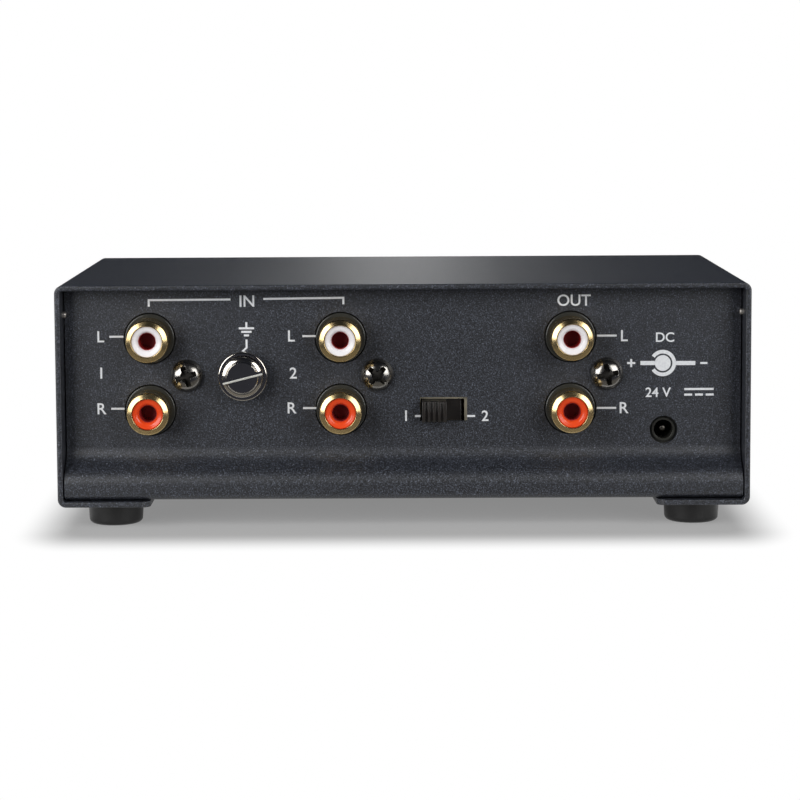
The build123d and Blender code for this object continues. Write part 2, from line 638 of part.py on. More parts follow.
with BuildPart() as earth_screw:
    with BuildSketch(rear_view(THUMB_SEAT)):
        with Locations(EARTH_PLACE):
            Circle(THUMB_DIAMETER / 2)
    extrude(amount=THUMB_LENGTH)
    fillet(earth_screw.edges().group_by(Axis.Y)[0], radius=THUMB_EDGE)
    with BuildSketch(rear_view(THUMB_SEAT)):
        with Locations(EARTH_PLACE):
            with PolarLocations(THUMB_DIAMETER / 2, KNURLS):
                Circle(KNURL_RADIUS)
    extrude(amount=THUMB_LENGTH, mode=Mode.SUBTRACT)
    with BuildSketch(rear_view(THUMB_FRONT)):
        with Locations(Location((EARTH_X, EARTH_Z, 0), (0, 0, SLOT_TURN))):
            Rectangle(THUMB_DIAMETER + 1, SLOT_WIDTH)
    extrude(amount=-SLOT_DEPTH, mode=Mode.SUBTRACT)
    with BuildSketch(rear_view(THUMB_SEAT)):
        with Locations(EARTH_PLACE):
            Circle(THUMB_SHANK_DIAMETER / 2)
    extrude(amount=-THUMB_SHANK)
save(earth_screw.part, "earth_screw")

WIRE_Z = EARTH_Z - EARTH_LUG_TAIL + EARTH_LUG_TAIL_WIDTH / 2
WIRE_START = PANEL_BACK + EARTH_LUG
WIRE_Y = WIRE_START + WIRE_RUN
with BuildPart() as earth_wire:
    with BuildLine() as wire_path:
        corners = [(EARTH_X, WIRE_START, WIRE_Z), (EARTH_X, WIRE_Y, WIRE_Z), (EARTH_X, WIRE_Y, PIN_END)]
        FilletPolyline(*corners, radius=WIRE_BEND)
    with BuildSketch(Plane(wire_path.line @ 0, z_dir=wire_path.line % 0)):
        Circle(WIRE_DIAMETER / 2)
    sweep()
save(earth_wire.part, "earth_wire")

# ================================================================ slide switch
FRAME_INNER = FRAME_LENGTH - 2 * FRAME_SHEET
FRAME_INNER_HEIGHT = FRAME_HEIGHT - 2 * FRAME_SHEET
FRAME_LEG_X = (FRAME_LENGTH - FRAME_SHEET) / 2
FRAME_MIDDLE = PANEL_BACK + FRAME_DEPTH / 2
TERMINAL_XS = [WINDOW_X - KNOB_TRAVEL, WINDOW_X, WINDOW_X + KNOB_TRAVEL]
LOW_ROW = (WINDOW_Z - TERMINAL_ROW, FRAME_BACK + TERMINAL_BACK)
HIGH_ROW = (WINDOW_Z + TERMINAL_ROW, FRAME_BACK + TERMINAL_BACK + TERMINAL_ROW_STEP)
TERMINAL_ROWS = [LOW_ROW, HIGH_ROW]

with BuildPart() as switch_frame:
    with BuildSketch(rear_view(FRAME_BACK)):
        with Locations((WINDOW_X, WINDOW_Z)):
            Rectangle(FRAME_LENGTH, FRAME_HEIGHT)
    extrude(amount=FRAME_DEPTH)
    with BuildSketch(rear_view(FRAME_BACK)):
        with Locations((WINDOW_X, WINDOW_Z)):
            Rectangle(FRAME_INNER, FRAME_INNER_HEIGHT)
    extrude(amount=FRAME_DEPTH - FRAME_SHEET, mode=Mode.SUBTRACT)
    with BuildSketch(rear_view(FRAME_BACK)):
        with Locations((WINDOW_X, WINDOW_Z)):
            Rectangle(WINDOW_WIDTH, WINDOW_HEIGHT)
    extrude(amount=FRAME_DEPTH, mode=Mode.SUBTRACT)
    with BuildSketch(Plane.XY.offset(WINDOW_Z)):
        with Locations((WINDOW_X - FRAME_LEG_X, FRAME_MIDDLE), (WINDOW_X + FRAME_LEG_X, FRAME_MIDDLE)):
            Rectangle(FRAME_SHEET, FRAME_LEG_WIDTH)
    extrude(amount=PIN_END - WINDOW_Z)
save(switch_frame.part, "switch_frame")

with BuildPart() as switch_base:
    with BuildSketch(rear_view(FRAME_BACK)):
        with Locations((WINDOW_X, WINDOW_Z)):
            Rectangle(FRAME_INNER - 2 * FIT, FRAME_INNER_HEIGHT - 2 * FIT)
        with Locations(*[(x, z) for x in TERMINAL_XS for z, _ in TERMINAL_ROWS]):
            Rectangle(TERMINAL_SIZE + 2 * FIT, TERMINAL_SIZE + 2 * FIT, mode=Mode.SUBTRACT)
    extrude(amount=SWITCH_BASE)
save(switch_base.part, "switch_base")

with BuildPart() as switch_terminals:
    for x in TERMINAL_XS:
        for z, leg_y in TERMINAL_ROWS:
            with BuildSketch(rear_view(leg_y + STRIP / 2)):
                with Locations((x, z)):
                    Rectangle(TERMINAL_SIZE, TERMINAL_SIZE)
            extrude(amount=leg_y + STRIP / 2 - TERMINAL_FRONT)
            with BuildSketch(rear_view(leg_y + STRIP / 2)):
                with Locations((x, (z + PIN_END) / 2)):
                    Rectangle(TERMINAL_SIZE, z - PIN_END)
            extrude(amount=STRIP)
save(switch_terminals.part, "switch_terminals")

SLIDER_LENGTH = FRAME_INNER - KNOB_TRAVEL - 2 * KNOB_END_GAP
BRIDGE_LENGTH = KNOB_TRAVEL + TERMINAL_SIZE + 2 * BRIDGE_OVERLAP
with BuildPart() as switch_slider:
    with BuildSketch(rear_view(SLIDER_BACK)):
        with Locations((KNOB_X, WINDOW_Z)):
            Rectangle(SLIDER_LENGTH, FRAME_INNER_HEIGHT - 2 * SLIDER_CLEAR)
    extrude(amount=SLIDER_PLATE)
    with BuildSketch(rear_view(SLIDER_BACK)):
        with Locations((KNOB_X, KNOB_Z)):
            Rectangle(KNOB_WIDTH, KNOB_HEIGHT)
    extrude(amount=SLIDER_BACK - PANEL_FACE + KNOB_REACH)
    with BuildSketch(rear_view(PANEL_FACE - KNOB_REACH + KNOB_GROOVE)):
        with Locations((KNOB_X, KNOB_Z)):
            with GridLocations(KNOB_RIB_PITCH, KNOB_HEIGHT, KNOB_RIBS - 1, 1):
                Rectangle(KNOB_GROOVE, KNOB_HEIGHT)
    extrude(amount=KNOB_GROOVE, mode=Mode.SUBTRACT)
save(switch_slider.part, "switch_slider")

with BuildPart() as switch_bridges:
    with BuildSketch(rear_view(BRIDGE_BACK)):
        with Locations(*[(KNOB_X, z) for z, _ in TERMINAL_ROWS]):
            Rectangle(BRIDGE_LENGTH, BRIDGE_HEIGHT)
    extrude(amount=BRIDGE_DEPTH)
save(switch_bridges.part, "switch_bridges")

# ================================================================ power socket
POWER_PLACE = (POWER_X, POWER_Z)
POWER_LEG_Y = POWER_BACK + STRIP / 2
SPRING_X = POWER_X + POWER_BORE / 2 + POWER_SPRING / 2 + FIT
SPRING_Y = POWER_FRONT + POWER_DEPTH / 2
SPRING_TOP = POWER_Z + POWER_SPRING_HEIGHT / 2
with BuildPart() as power_socket_body:
    with BuildSketch(rear_view(POWER_BACK)):
        with Locations((POWER_X, (BOARD_TOP + POWER_TOP) / 2)):
            RectangleRounded(POWER_WIDTH, POWER_TOP - BOARD_TOP, BODY_EDGE)
    extrude(amount=POWER_DEPTH)
    with BuildSketch(rear_view(POWER_FRONT)):
        with Locations(POWER_PLACE):
            Circle(POWER_COLLAR_DIAMETER / 2)
    extrude(amount=POWER_COLLAR)
    with BuildSketch(rear_view(POWER_BORE_END)):
        with Locations(POWER_PLACE):
            Circle(POWER_BORE / 2)
    extrude(amount=POWER_BORE_DEPTH, mode=Mode.SUBTRACT)
    with BuildSketch(rear_view(POWER_BACK)):
        with Locations(POWER_PLACE):
            Circle(POWER_PIN_DIAMETER / 2 + FIT)
    extrude(amount=POWER_DEPTH, mode=Mode.SUBTRACT)
    with BuildSketch(rear_view(SPRING_Y + POWER_SPRING_LENGTH / 2 + FIT)):
        with Locations((SPRING_X - POWER_SPRING / 4, (BOARD_TOP + SPRING_TOP + FIT) / 2)):
            Rectangle(POWER_SPRING * 1.5 + 2 * FIT, SPRING_TOP + FIT - BOARD_TOP)
    extrude(amount=POWER_SPRING_LENGTH + 2 * FIT, mode=Mode.SUBTRACT)
save(power_socket_body.part, "power_socket_body")

with BuildPart() as power_socket_pin:
    with BuildSketch(rear_view(POWER_BACK + STRIP)):
        with Locations(POWER_PLACE):
            Circle(POWER_PIN_DIAMETER / 2)
    extrude(amount=POWER_BACK + STRIP - POWER_COLLAR_FACE - POWER_PIN_SETBACK)
    fillet(power_socket_pin.edges().group_by(Axis.Y)[0], radius=POWER_PIN_DIAMETER / 3)
    with BuildSketch(rear_view(POWER_BACK + STRIP)):
        with Locations((POWER_X, (POWER_Z + PIN_END) / 2)):
            Rectangle(LEG_WIDTH, POWER_Z - PIN_END)
    extrude(amount=STRIP)
save(power_socket_pin.part, "power_socket_pin")

with BuildPart() as power_socket_spring:
    with BuildSketch(Plane.YZ.offset(SPRING_X)):
        with Locations((SPRING_Y, SPRING_TOP - POWER_SPRING_HEIGHT / 2)):
            Rectangle(POWER_SPRING_LENGTH, POWER_SPRING_HEIGHT)
        with Locations((SPRING_Y, (POWER_Z + PIN_END) / 2)):
            Rectangle(LEG_WIDTH, POWER_Z - PIN_END)
    extrude(amount=POWER_SPRING / 2, both=True)
save(power_socket_spring.part, "power_socket_spring")


# ================================================================ parts on the circuit board
def can(x, y, diameter, height, pitch):
    """Round component standing on the board, with two leads through it."""
    with BuildPart() as piece:
        with BuildSketch(Plane.XY.offset(BOARD_TOP)):
            with Locations((x, y)):
                Circle(diameter / 2)
        extrude(amount=height)
        fillet(piece.edges().group_by(Axis.Z)[-1], radius=CAN_EDGE)
        add(leads(pair(x, y, pitch)))
    return piece.part


def block(x, y, size, places):
    """Rectangular component standing on the board, with leads through it."""
    with BuildPart() as piece:
        with BuildSketch(Plane.XY.offset(BOARD_TOP)):
            with Locations((x, y)):
                Rectangle(size[0], size[1])
        extrude(amount=size[2])
        add(leads(places))
    return piece.part


def leads(places):
    """Straight leads from just above the board's top down past its underside."""
    with BuildPart() as pins:
        with BuildSketch(Plane.XY.offset(BOARD_TOP + LEAD_DIAMETER)):
            with Locations(*places):
                Circle(LEAD_DIAMETER / 2)
        extrude(amount=PIN_END - BOARD_TOP - LEAD_DIAMETER)
    return pins.part


def axial(x, y, diameter, length, pitch):
    """Round component lying along X, on two leads bent down into the board."""
    z = BOARD_TOP + diameter / 2 + AXIAL_LIFT
    with BuildPart() as piece:
        with BuildSketch(Plane.YZ.offset(x - length / 2)):
            with Locations((y, z)):
                Circle(diameter / 2)
        extrude(amount=length)
        with BuildLine() as lead_path:
            near, far = x - pitch / 2, x + pitch / 2
            FilletPolyline((near, y, PIN_END), (near, y, z), (far, y, z), (far, y, PIN_END), radius=LEAD_BEND)
        with BuildSketch(Plane((x - pitch / 2, y, PIN_END))):
            Circle(LEAD_DIAMETER / 2)
        sweep(path=lead_path.line)
    return piece.part


def pair(x, y, pitch):
    """Two lead places on a line along X."""
    return [(x - pitch / 2, y), (x + pitch / 2, y)]


def save_group(pieces, name):
    """Several like pieces in one file."""
    with BuildPart() as group:
        for piece in pieces:
            add(piece)
    save(group.part, name)


def three_leads(x, y):
    """Three lead places on a line along X."""
    return [(x, y)] + pair(x, y, 2 * CHIP_PITCH)


def chip(x, y):
    """Eight-legged amplifier chip: a body on two rows of flat legs."""
    low = BOARD_TOP + CHIP_LIFT
    with BuildPart() as piece:
        with BuildSketch(Plane.XY.offset(low)):
            with Locations((x, y)):
                Rectangle(CHIP_LENGTH, CHIP_WIDTH)
        extrude(amount=CHIP_HEIGHT)
        for leg_x, leg_y in chip_legs(x, y):
            with BuildSketch(Plane.XY.offset(low + CHIP_HEIGHT / 2)):
                with Locations((leg_x, (leg_y + y) / 2)):
                    Rectangle(CHIP_LEG, abs(leg_y - y) + CHIP_LEG)
            extrude(amount=-CHIP_LEG)
            with BuildSketch(Plane.XY.offset(low + CHIP_HEIGHT / 2)):
                with Locations((leg_x, leg_y)):
                    Rectangle(CHIP_LEG, CHIP_LEG)
            extrude(amount=PIN_END - low - CHIP_HEIGHT / 2)
    return piece.part


def chip_legs(x, y):
    """The eight places of a chip's legs."""
    steps = [CHIP_PITCH * (index - 1.5) for index in range(4)]
    return [(x + step, y + sign * CHIP_ROWS / 2) for step in steps for sign in (-1, 1)]


resistors = [axial(x, y, RESISTOR_DIAMETER, RESISTOR_LENGTH, RESISTOR_PITCH) for x, y in RESISTOR_PLACES]
save_group(resistors, "resistors")
diodes = [axial(x, y, DIODE_DIAMETER, DIODE_LENGTH, DIODE_PITCH) for x, y in DIODE_PLACES]
save_group(diodes, "supply_diodes")
film = [block(x, y, FILM_SIZE, pair(x, y, FILM_PITCH)) for x, y in FILM_PLACES]
save_group(film, "film_capacitors")
coupling = [can(x, y, COUPLING_DIAMETER, COUPLING_HEIGHT, CAN_PITCH) for x, y in COUPLING_PLACES]
save_group(coupling, "coupling_capacitors")
supply = [can(x, y, SUPPLY_DIAMETER, SUPPLY_HEIGHT, CAN_PITCH) for x, y in SUPPLY_PLACES]
save_group(supply, "supply_capacitors")
transistors = [block(x, y, TRANSISTOR_SIZE, three_leads(x, y)) for x, y in TRANSISTOR_PLACES]
save_group(transistors, "input_transistors")
save_group([chip(x, y) for x, y in CHIP_PLACES], "amplifier_chips")
regulator = block(*REGULATOR_PLACE, REGULATOR_SIZE, three_leads(*REGULATOR_PLACE))
save_group([regulator], "voltage_regulator")

# ================================================================ power lamp
LAMP_BACK = FRONT_FACE + LAMP_REACH - LAMP_LENGTH
LAMP_LEAD_Y = LAMP_BACK - LAMP_LEAD_RUN
LAMP_LEADS = pair(LAMP_X, LAMP_LEAD_Y, LAMP_PIN_PITCH)
with BuildPart() as lamp:
    with BuildSketch(rear_view(LAMP_BACK)):
        with Locations(LAMP_PLACE):
            Circle(LAMP_DIAMETER / 2)
    extrude(amount=-LAMP_LENGTH)
    fillet(lamp.edges().group_by(Axis.Y)[-1], radius=LAMP_DIAMETER * 0.4)
    for x, y in LAMP_LEADS:
        with BuildLine() as lamp_lead:
            FilletPolyline((x, LAMP_BACK, LAMP_Z), (x, y, LAMP_Z), (x, y, PIN_END), radius=WIRE_BEND)
        with BuildSketch(rear_view(LAMP_BACK)):
            with Locations((x, LAMP_Z)):
                Circle(LAMP_LEAD_DIAMETER / 2)
        sweep(path=lamp_lead.line)
save(lamp.part, "power_lamp")

with BuildPart() as lamp_holder:
    with BuildSketch(rear_view(FRONT_FACE)):
        with Locations(LAMP_PLACE):
            Circle(HOLDER_FLANGE_DIAMETER / 2)
    extrude(amount=-HOLDER_FLANGE)
    with BuildSketch(rear_view(FRONT_FACE)):
        with Locations(LAMP_PLACE):
            Circle(HOLDER_DIAMETER / 2)
    extrude(amount=FRONT_FACE - LAMP_BACK)
    with BuildSketch(rear_view(LAMP_BACK)):
        with Locations(LAMP_PLACE):
            Circle(HOLDER_BORE / 2)
    extrude(amount=-LAMP_LENGTH, mode=Mode.SUBTRACT)
save(lamp_holder.part, "lamp_holder")

# ================================================================ circuit board, standoffs, board screws
LEG_PLACES = [(x, INSULATOR_END + STRIP / 2) for x in SOCKET_X.values()]
LEG_PLACES += [(x + UPPER_LEG_X, INSULATOR_END + STRIP / 2) for x in SOCKET_X.values()]
LEG_PLACES += [(x + EARTH_LEG_X, BODY_REAR + STRIP / 2) for x in SOCKET_X.values()]
LEG_PLACES += [(WINDOW_X - FRAME_LEG_X, FRAME_MIDDLE), (WINDOW_X + FRAME_LEG_X, FRAME_MIDDLE)]
LEG_PLACES += [(x, leg_y) for x in TERMINAL_XS for _, leg_y in TERMINAL_ROWS]
LEG_PLACES += [(POWER_X, POWER_LEG_Y), (SPRING_X, SPRING_Y), (EARTH_X, WIRE_Y)]
LEAD_PLACES = LAMP_LEADS + three_leads(*REGULATOR_PLACE)
LEAD_PLACES += [place for x, y in RESISTOR_PLACES for place in pair(x, y, RESISTOR_PITCH)]
LEAD_PLACES += [place for x, y in DIODE_PLACES for place in pair(x, y, DIODE_PITCH)]
LEAD_PLACES += [place for x, y in FILM_PLACES for place in pair(x, y, FILM_PITCH)]
LEAD_PLACES += [place for x, y in COUPLING_PLACES + SUPPLY_PLACES for place in pair(x, y, CAN_PITCH)]
LEAD_PLACES += [place for x, y in TRANSISTOR_PLACES for place in three_leads(x, y)]
LEAD_PLACES += [place for x, y in CHIP_PLACES for place in chip_legs(x, y)]

with BuildPart() as circuit_board:
    with BuildSketch(Plane.XY.offset(BOARD_BOTTOM)):
        with Locations((0, (BOARD_REAR + BOARD_FRONT) / 2)):
            Rectangle(BOARD_WIDTH, BOARD_FRONT - BOARD_REAR)
        with Locations(*LEG_PLACES):
            Circle(PIN_HOLE_DIAMETER / 2, mode=Mode.SUBTRACT)
        with Locations(*LEAD_PLACES):
            Circle(LEAD_HOLE_DIAMETER / 2, mode=Mode.SUBTRACT)
        with Locations(*STANDOFF_PLACES):
            Circle(SCREW_HOLE_DIAMETER / 2, mode=Mode.SUBTRACT)
    extrude(amount=BOARD)
save(circuit_board.part, "circuit_board")

with BuildPart() as board_standoffs:
    for x, y in STANDOFF_PLACES:
        with BuildSketch(Plane((x, y, TRAY_FLOOR))):
            Circle(STANDOFF_DIAMETER / 2)
        extrude(amount=BOARD_BOTTOM - TRAY_FLOOR)
        with BuildSketch(Plane((x, y, TRAY_FLOOR))):
            Circle(PILOT_DIAMETER / 2)
        extrude(amount=-SHEET * PILOT_SHARE)
        with BuildSketch(Plane((x, y, TRAY_BOTTOM))):
            Circle(THREAD_DIAMETER / 2)
        extrude(amount=BOARD_BOTTOM - TRAY_BOTTOM, mode=Mode.SUBTRACT)
save(board_standoffs.part, "board_standoffs")

board_screw = pan_screw(Plane.XY, SCREW_HEAD_DIAMETER, SCREW_HEAD, SCREW_DIAMETER, BOARD_SCREW_LENGTH)
with BuildPart() as board_screws:
    with Locations(*[(x, y, BOARD_TOP) for x, y in STANDOFF_PLACES]):
        add(board_screw)
save(board_screws.part, "board_screws")
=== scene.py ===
"""Looks of a small phono preamplifier: a folded steel case on rubber feet, its recessed rear panel facing -Y.

Shapes are worked out in millimetres and made metres when they become meshes.
"""
from math import radians

import bmesh
import bpy
import numpy as np
from mathutils import Matrix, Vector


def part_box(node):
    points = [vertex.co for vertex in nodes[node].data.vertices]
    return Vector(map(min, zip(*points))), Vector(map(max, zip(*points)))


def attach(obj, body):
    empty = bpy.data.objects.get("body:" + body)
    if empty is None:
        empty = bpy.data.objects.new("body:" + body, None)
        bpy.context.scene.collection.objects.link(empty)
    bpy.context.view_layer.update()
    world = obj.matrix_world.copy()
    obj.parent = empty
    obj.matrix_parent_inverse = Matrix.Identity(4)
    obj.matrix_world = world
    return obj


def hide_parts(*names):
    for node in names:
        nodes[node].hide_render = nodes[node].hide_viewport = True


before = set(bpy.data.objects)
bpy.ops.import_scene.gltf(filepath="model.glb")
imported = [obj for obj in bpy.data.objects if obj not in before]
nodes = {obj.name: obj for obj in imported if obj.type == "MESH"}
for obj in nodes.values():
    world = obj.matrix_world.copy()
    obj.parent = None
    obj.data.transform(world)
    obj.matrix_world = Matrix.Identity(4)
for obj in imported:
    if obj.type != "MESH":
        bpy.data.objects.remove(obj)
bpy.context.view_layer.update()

MM, METRE = 0.001, 1000.0
CREASE = radians(35)              # a wider turn between two faces is shaded as an edge


def box_of(node):
    """Low corner, high corner and middle of a node's box, in millimetres to a tenth of a micrometre."""
    low, high = (np.array(corner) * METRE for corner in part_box(node))
    return np.round([low, high, (low + high) / 2], 4)


# ---------------------------------------------------------------- sizes and places, millimetres
# cover and tray
(_, REAR, UNDERSIDE), (SIDE, FRONT, TOP), _ = box_of("case_cover")
SHEET = 1.1
FOLD = 1.6                        # outside radius of the cover's folds
CUT_EDGE = 0.28                   # round on the cover's cut edges
FLANGE_END, FLANGE_CORNER = 49.5, 2.0             # where a return flange ends in x, and its corners
PANEL, FRONT_PANEL = REAR + 4.7, FRONT - 4.7      # faces of the two recessed panels
STOP_RADIUS, STOP_RISE, STOP_Z = 0.6, 0.7, 42.0
STOP_GAP = 0.85                   # from a stop's middle to the panel beside it
# feet, radii and a depth
FOOT_TOP, FOOT_FACE = 5.5, 5.25
POCKET, POCKET_DEPTH, FOOT_BORE = 3.2, 2.4, 1.6
# phono sockets: the shell's radii, then the insulator's, then those of the pin guide inside its bore
SOCKETS = ("input_1", "input_2", "output")
SOCKET_X = [box_of(f"{socket}_shell_left")[2, 0] for socket in SOCKETS]
(_, SHELL_FRONT, _), (_, SOCKET_END, _), _ = box_of("output_shell_left")
BOSS_FACE = PANEL - 0.35          # front of the moulded boss round a shell
SHELL, SHELL_BORE, SHELL_TAIL = 4.15, 3.0, 3.9
MOUTH, MOUTH_DEPTH = 3.16, 0.52   # inner radius and depth of the cone at the shell's mouth
INSULATOR, PIN_HOLE = 2.97, 1.66
GUIDE_OUTER, GUIDE_INNER = 1.70, 1.62
FACE = SHELL_FRONT + 0.4          # insulator's front
DISH = 0.9                        # depth of the dish in it
DISH_RADIUS, DISH_FLOOR = 2.58, 1.72              # radii at its edge and at its bottom
DISH_LIP = 0.05                   # how far its edge lies behind the face
DISH_END = FACE + DISH
GUIDE_START, GUIDE_FLOOR, GUIDE_END = DISH_END + 0.02, DISH_END + 4.5, DISH_END + 4.8
TAIL_END = SOCKET_END + 0.9       # back of the insulator
# screws that hold the sockets
SCREW_Z = box_of("socket_screws")[2, 2]
SCREW_OFFSET = 7.15               # from a socket's axis to the screw beside it
SCREW_TURNS = (18, 48, 12)        # degrees
HEAD_RADIUS, HEAD_HEIGHT, HEAD_POWER = 3.22, 2.3, 2.3
RECESS_RADIUS, RECESS_DEPTH = 2.25, 1.6
SHANK, SHANK_LENGTH = 1.45, 7.5
# earth terminal
(_, THUMB_FRONT, _), (_, THREAD_END, _), (EARTH_X, _, EARTH_Z) = box_of("earth_screw")
(_, WASHER_FRONT, _), (_, WASHER_BACK, _), _ = box_of("earth_washer")
EARTH = (EARTH_X, EARTH_Z)
WASHER_BORE, WASHER_RADIUS = 2.0, 4.8
SEAT = WASHER_FRONT - 0.05        # back of the thumb screw's head
THUMB, THREAD = 4.0, 1.95         # radii
SLOT_TURN = radians(14.0)
SLOT_HALF, SLOT_DEPTH = 0.415, 0.8
# screen print
INK = 0.02                        # thickness
LINE = 0.4                        # width of most lines


# ---------------------------------------------------------------- lines and surfaces
def rounded(corners, radii, steps=8, guard=0.12, closed=False):
    """Line through 2-D corners with an arc in each.
    An arc starts r*tan(turn/2) before its corner and is centred r beside its start. A guard point before and
    after each arc keeps the straight runs flat when the surface is shaded smooth."""
    corners = np.asarray(corners, float)
    radii = np.broadcast_to(radii, len(corners))
    pieces = []
    for index, (corner, radius) in enumerate(zip(corners, radii)):
        if radius == 0 or (not closed and index in (0, len(corners) - 1)):
            pieces.append(corner[None])
            continue
        came = corner - corners[index - 1]
        goes = corners[(index + 1) % len(corners)] - corner
        came, goes = came / np.hypot(*came), goes / np.hypot(*goes)
        turn = np.arctan2(came[0] * goes[1] - came[1] * goes[0], came @ goes)
        start = corner - came * radius * np.tan(abs(turn) / 2)
        beside = np.array([-came[1], came[0]]) * np.sign(turn)
        angle = np.linspace(0, turn, steps + 1)
        arm = -beside * radius
        c, s = np.cos(angle), np.sin(angle)
        bend = start + beside * radius + np.stack([arm[0] * c - arm[1] * s, arm[0] * s + arm[1] * c], 1)
        pieces.append(np.vstack([start - came * guard, bend, bend[-1] + goes * guard]))
    return np.vstack(pieces)


def turned(profile, centre, count=96, along="y", ripple=None):
    """Surface of revolution: point (r, h) of the profile goes to centre + r(cos t, sin t) across the axis and
    h along it. ripple(t) is added to every radius above 85% of the largest, as knurling."""
    profile = np.asarray(profile, float)
    t = np.linspace(0, 2 * np.pi, count, endpoint=False)
    r = np.repeat(profile[:, :1], count, 1)
    if ripple is not None:
        r = r + np.where(r > 0.85 * r.max(), ripple(t)[None], 0)
    h = np.repeat(profile[:, 1:], count, 1)
    a, b = centre[0] + r * np.cos(t), centre[1] + r * np.sin(t)
    return np.stack([a, h, b] if along == "y" else [a, b, h], -1)


def folded_strip(middle, thickness, low, high, rim, corner):
    """Folded sheet: a middle line in (x, z) gets +-thickness/2 along its normals and runs along Y from low to
    high. Towards each end the outline shrinks by rim*(1 - sin p) while y moves by rim*(1 - cos p), which
    rounds the cut edge. At s from an end the strip's two tips draw in by
    corner - sqrt(corner^2 - (corner - s)^2), which rounds its corners in plan."""
    step = np.gradient(middle, axis=0)
    step /= np.linalg.norm(step, axis=1, keepdims=True)
    across = np.stack([-step[:, 1], step[:, 0]], 1)
    p = np.linspace(0, np.pi / 2, 5)
    s = np.concatenate([[0], rim * (1 - np.cos(p)), np.linspace(rim, corner, 8)[1:]])
    shrink = np.concatenate([[thickness / 2], rim * (1 - np.sin(p)), np.zeros(7)])
    draw = shrink + corner - np.sqrt(np.maximum(corner ** 2 - (corner - s) ** 2, 0))
    y = np.concatenate([low + s, (high - s)[::-1]])
    shrink, draw = np.concatenate([shrink, shrink[::-1]]), np.concatenate([draw, draw[::-1]])
    line = np.repeat(middle[None], len(y), 0)
    line[:, 0] += step[0] * draw[:, None]
    line[:, -1] -= step[-1] * draw[:, None]
    half = (thickness / 2 - shrink)[:, None, None] * across[None]
    ring = np.concatenate([line + half, (line - half)[:, ::-1]], 1)
    return np.stack([ring[..., 0], np.repeat(y[:, None], ring.shape[1], 1), ring[..., 1]], -1)


def ribbon(path, width):
    """Printed line: a path in (x, z) with +-width/2 across it and +-INK about the panel's face, its ends
    closed."""
    path = np.asarray(path, float)
    step = np.gradient(path, axis=0)
    step /= np.linalg.norm(step, axis=1, keepdims=True)
    side = np.stack([-step[:, 1], step[:, 0]], 1) * width / 2
    near, far = np.full(len(path), PANEL - INK), np.full(len(path), PANEL + INK)
    left, right = path + side, path - side
    corners = [(left, near), (right, near), (right, far), (left, far)]
    grid = np.stack([np.stack([line[:, 0], y, line[:, 1]], 1) for line, y in corners], 1)
    ends = grid.mean(1, keepdims=True)
    return np.concatenate([np.repeat(ends[:1], 4, 1), grid, np.repeat(ends[-1:], 4, 1)])


def arc(centre, radius, start, stop, count=48):
    """Arc in (x, z): centre + radius(cos a, sin a), a from start to stop in degrees."""
    a = np.radians(np.linspace(start, stop, count))
    return np.stack([centre[0] + radius * np.cos(a), centre[1] + radius * np.sin(a)], 1)


# ---------------------------------------------------------------- meshes
def mesh_from(name, grids):
    """One mesh from grids of points (points, rows closed, columns closed): four neighbours make a face.
    A grid's faces are turned outwards when the volume they enclose comes out negative. Doubles are merged."""
    points, faces, start = [], [], 0
    for grid, closed_rows, closed_columns in grids:
        rows, columns = grid.shape[:2]
        i = np.arange(rows if closed_rows else rows - 1)[:, None]
        j = np.arange(columns if closed_columns else columns - 1)[None]
        i2, j2 = (i + 1) % rows, (j + 1) % columns
        ring = i * columns + j, i * columns + j2, i2 * columns + j2, i2 * columns + j
        quads = np.stack(np.broadcast_arrays(*ring), -1).reshape(-1, 4)
        flat = grid.reshape(-1, 3) * MM
        a, b, c, d = (flat[quads[:, k]] for k in range(4))
        volume = (a * np.cross(b, c)).sum() + (a * np.cross(c, d)).sum()
        faces.append((quads if volume > 0 else quads[:, ::-1]) + start)
        points.append(flat)
        start += len(flat)
    mesh = bpy.data.meshes.new(name)
    mesh.from_pydata(np.concatenate(points).tolist(), [], np.concatenate(faces).tolist())
    work = bmesh.new()
    work.from_mesh(mesh)
    bmesh.ops.remove_doubles(work, verts=work.verts, dist=1e-7)
    bmesh.ops.dissolve_degenerate(work, edges=work.edges, dist=1e-8)
    work.to_mesh(mesh)
    work.free()
    mesh.shade_smooth()
    mesh.set_sharp_from_angle(angle=CREASE)
    return mesh


def link(name, data):
    """New object in the scene."""
    thing = bpy.data.objects.new(name, data)
    bpy.context.scene.collection.objects.link(thing)
    return thing


def place(name, mesh, body, material, stands_for=()):
    """Put a finished mesh in the scene, riding on a body and standing for nodes of the part."""
    piece = link(name, mesh)
    mesh.materials.clear()
    mesh.materials.append(material)
    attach(piece, body)
    if stands_for:
        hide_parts(*stands_for)
    return piece


def eased(node, body, material, edge, segments=2):
    """Copy of a node's own solid, its loose triangles joined and its sharp edges broken by a small round."""
    mesh = nodes[node].data.copy()
    work = bmesh.new()
    work.from_mesh(mesh)
    bmesh.ops.remove_doubles(work, verts=work.verts, dist=2e-7)
    bmesh.ops.dissolve_limit(work, angle_limit=radians(0.4), verts=work.verts, edges=work.edges)
    work.to_mesh(mesh)
    work.free()
    mesh.shade_smooth()
    mesh.set_sharp_from_angle(angle=CREASE)
    piece = place(node + "_eased", mesh, body, material, [node])
    bevel = piece.modifiers.new("broken_edge", "BEVEL")
    bevel.width, bevel.segments = edge * MM, segments
    bevel.limit_method, bevel.angle_limit = "ANGLE", radians(40)
    bevel.use_clamp_overlap = True
    piece.modifiers.new("even_light", "WEIGHTED_NORMAL").keep_sharp = True


def face_middles(mesh):
    """Middle of every face, millimetres."""
    middles = np.empty(len(mesh.polygons) * 3)
    mesh.polygons.foreach_get("center", middles)
    return middles.reshape(-1, 3) * METRE


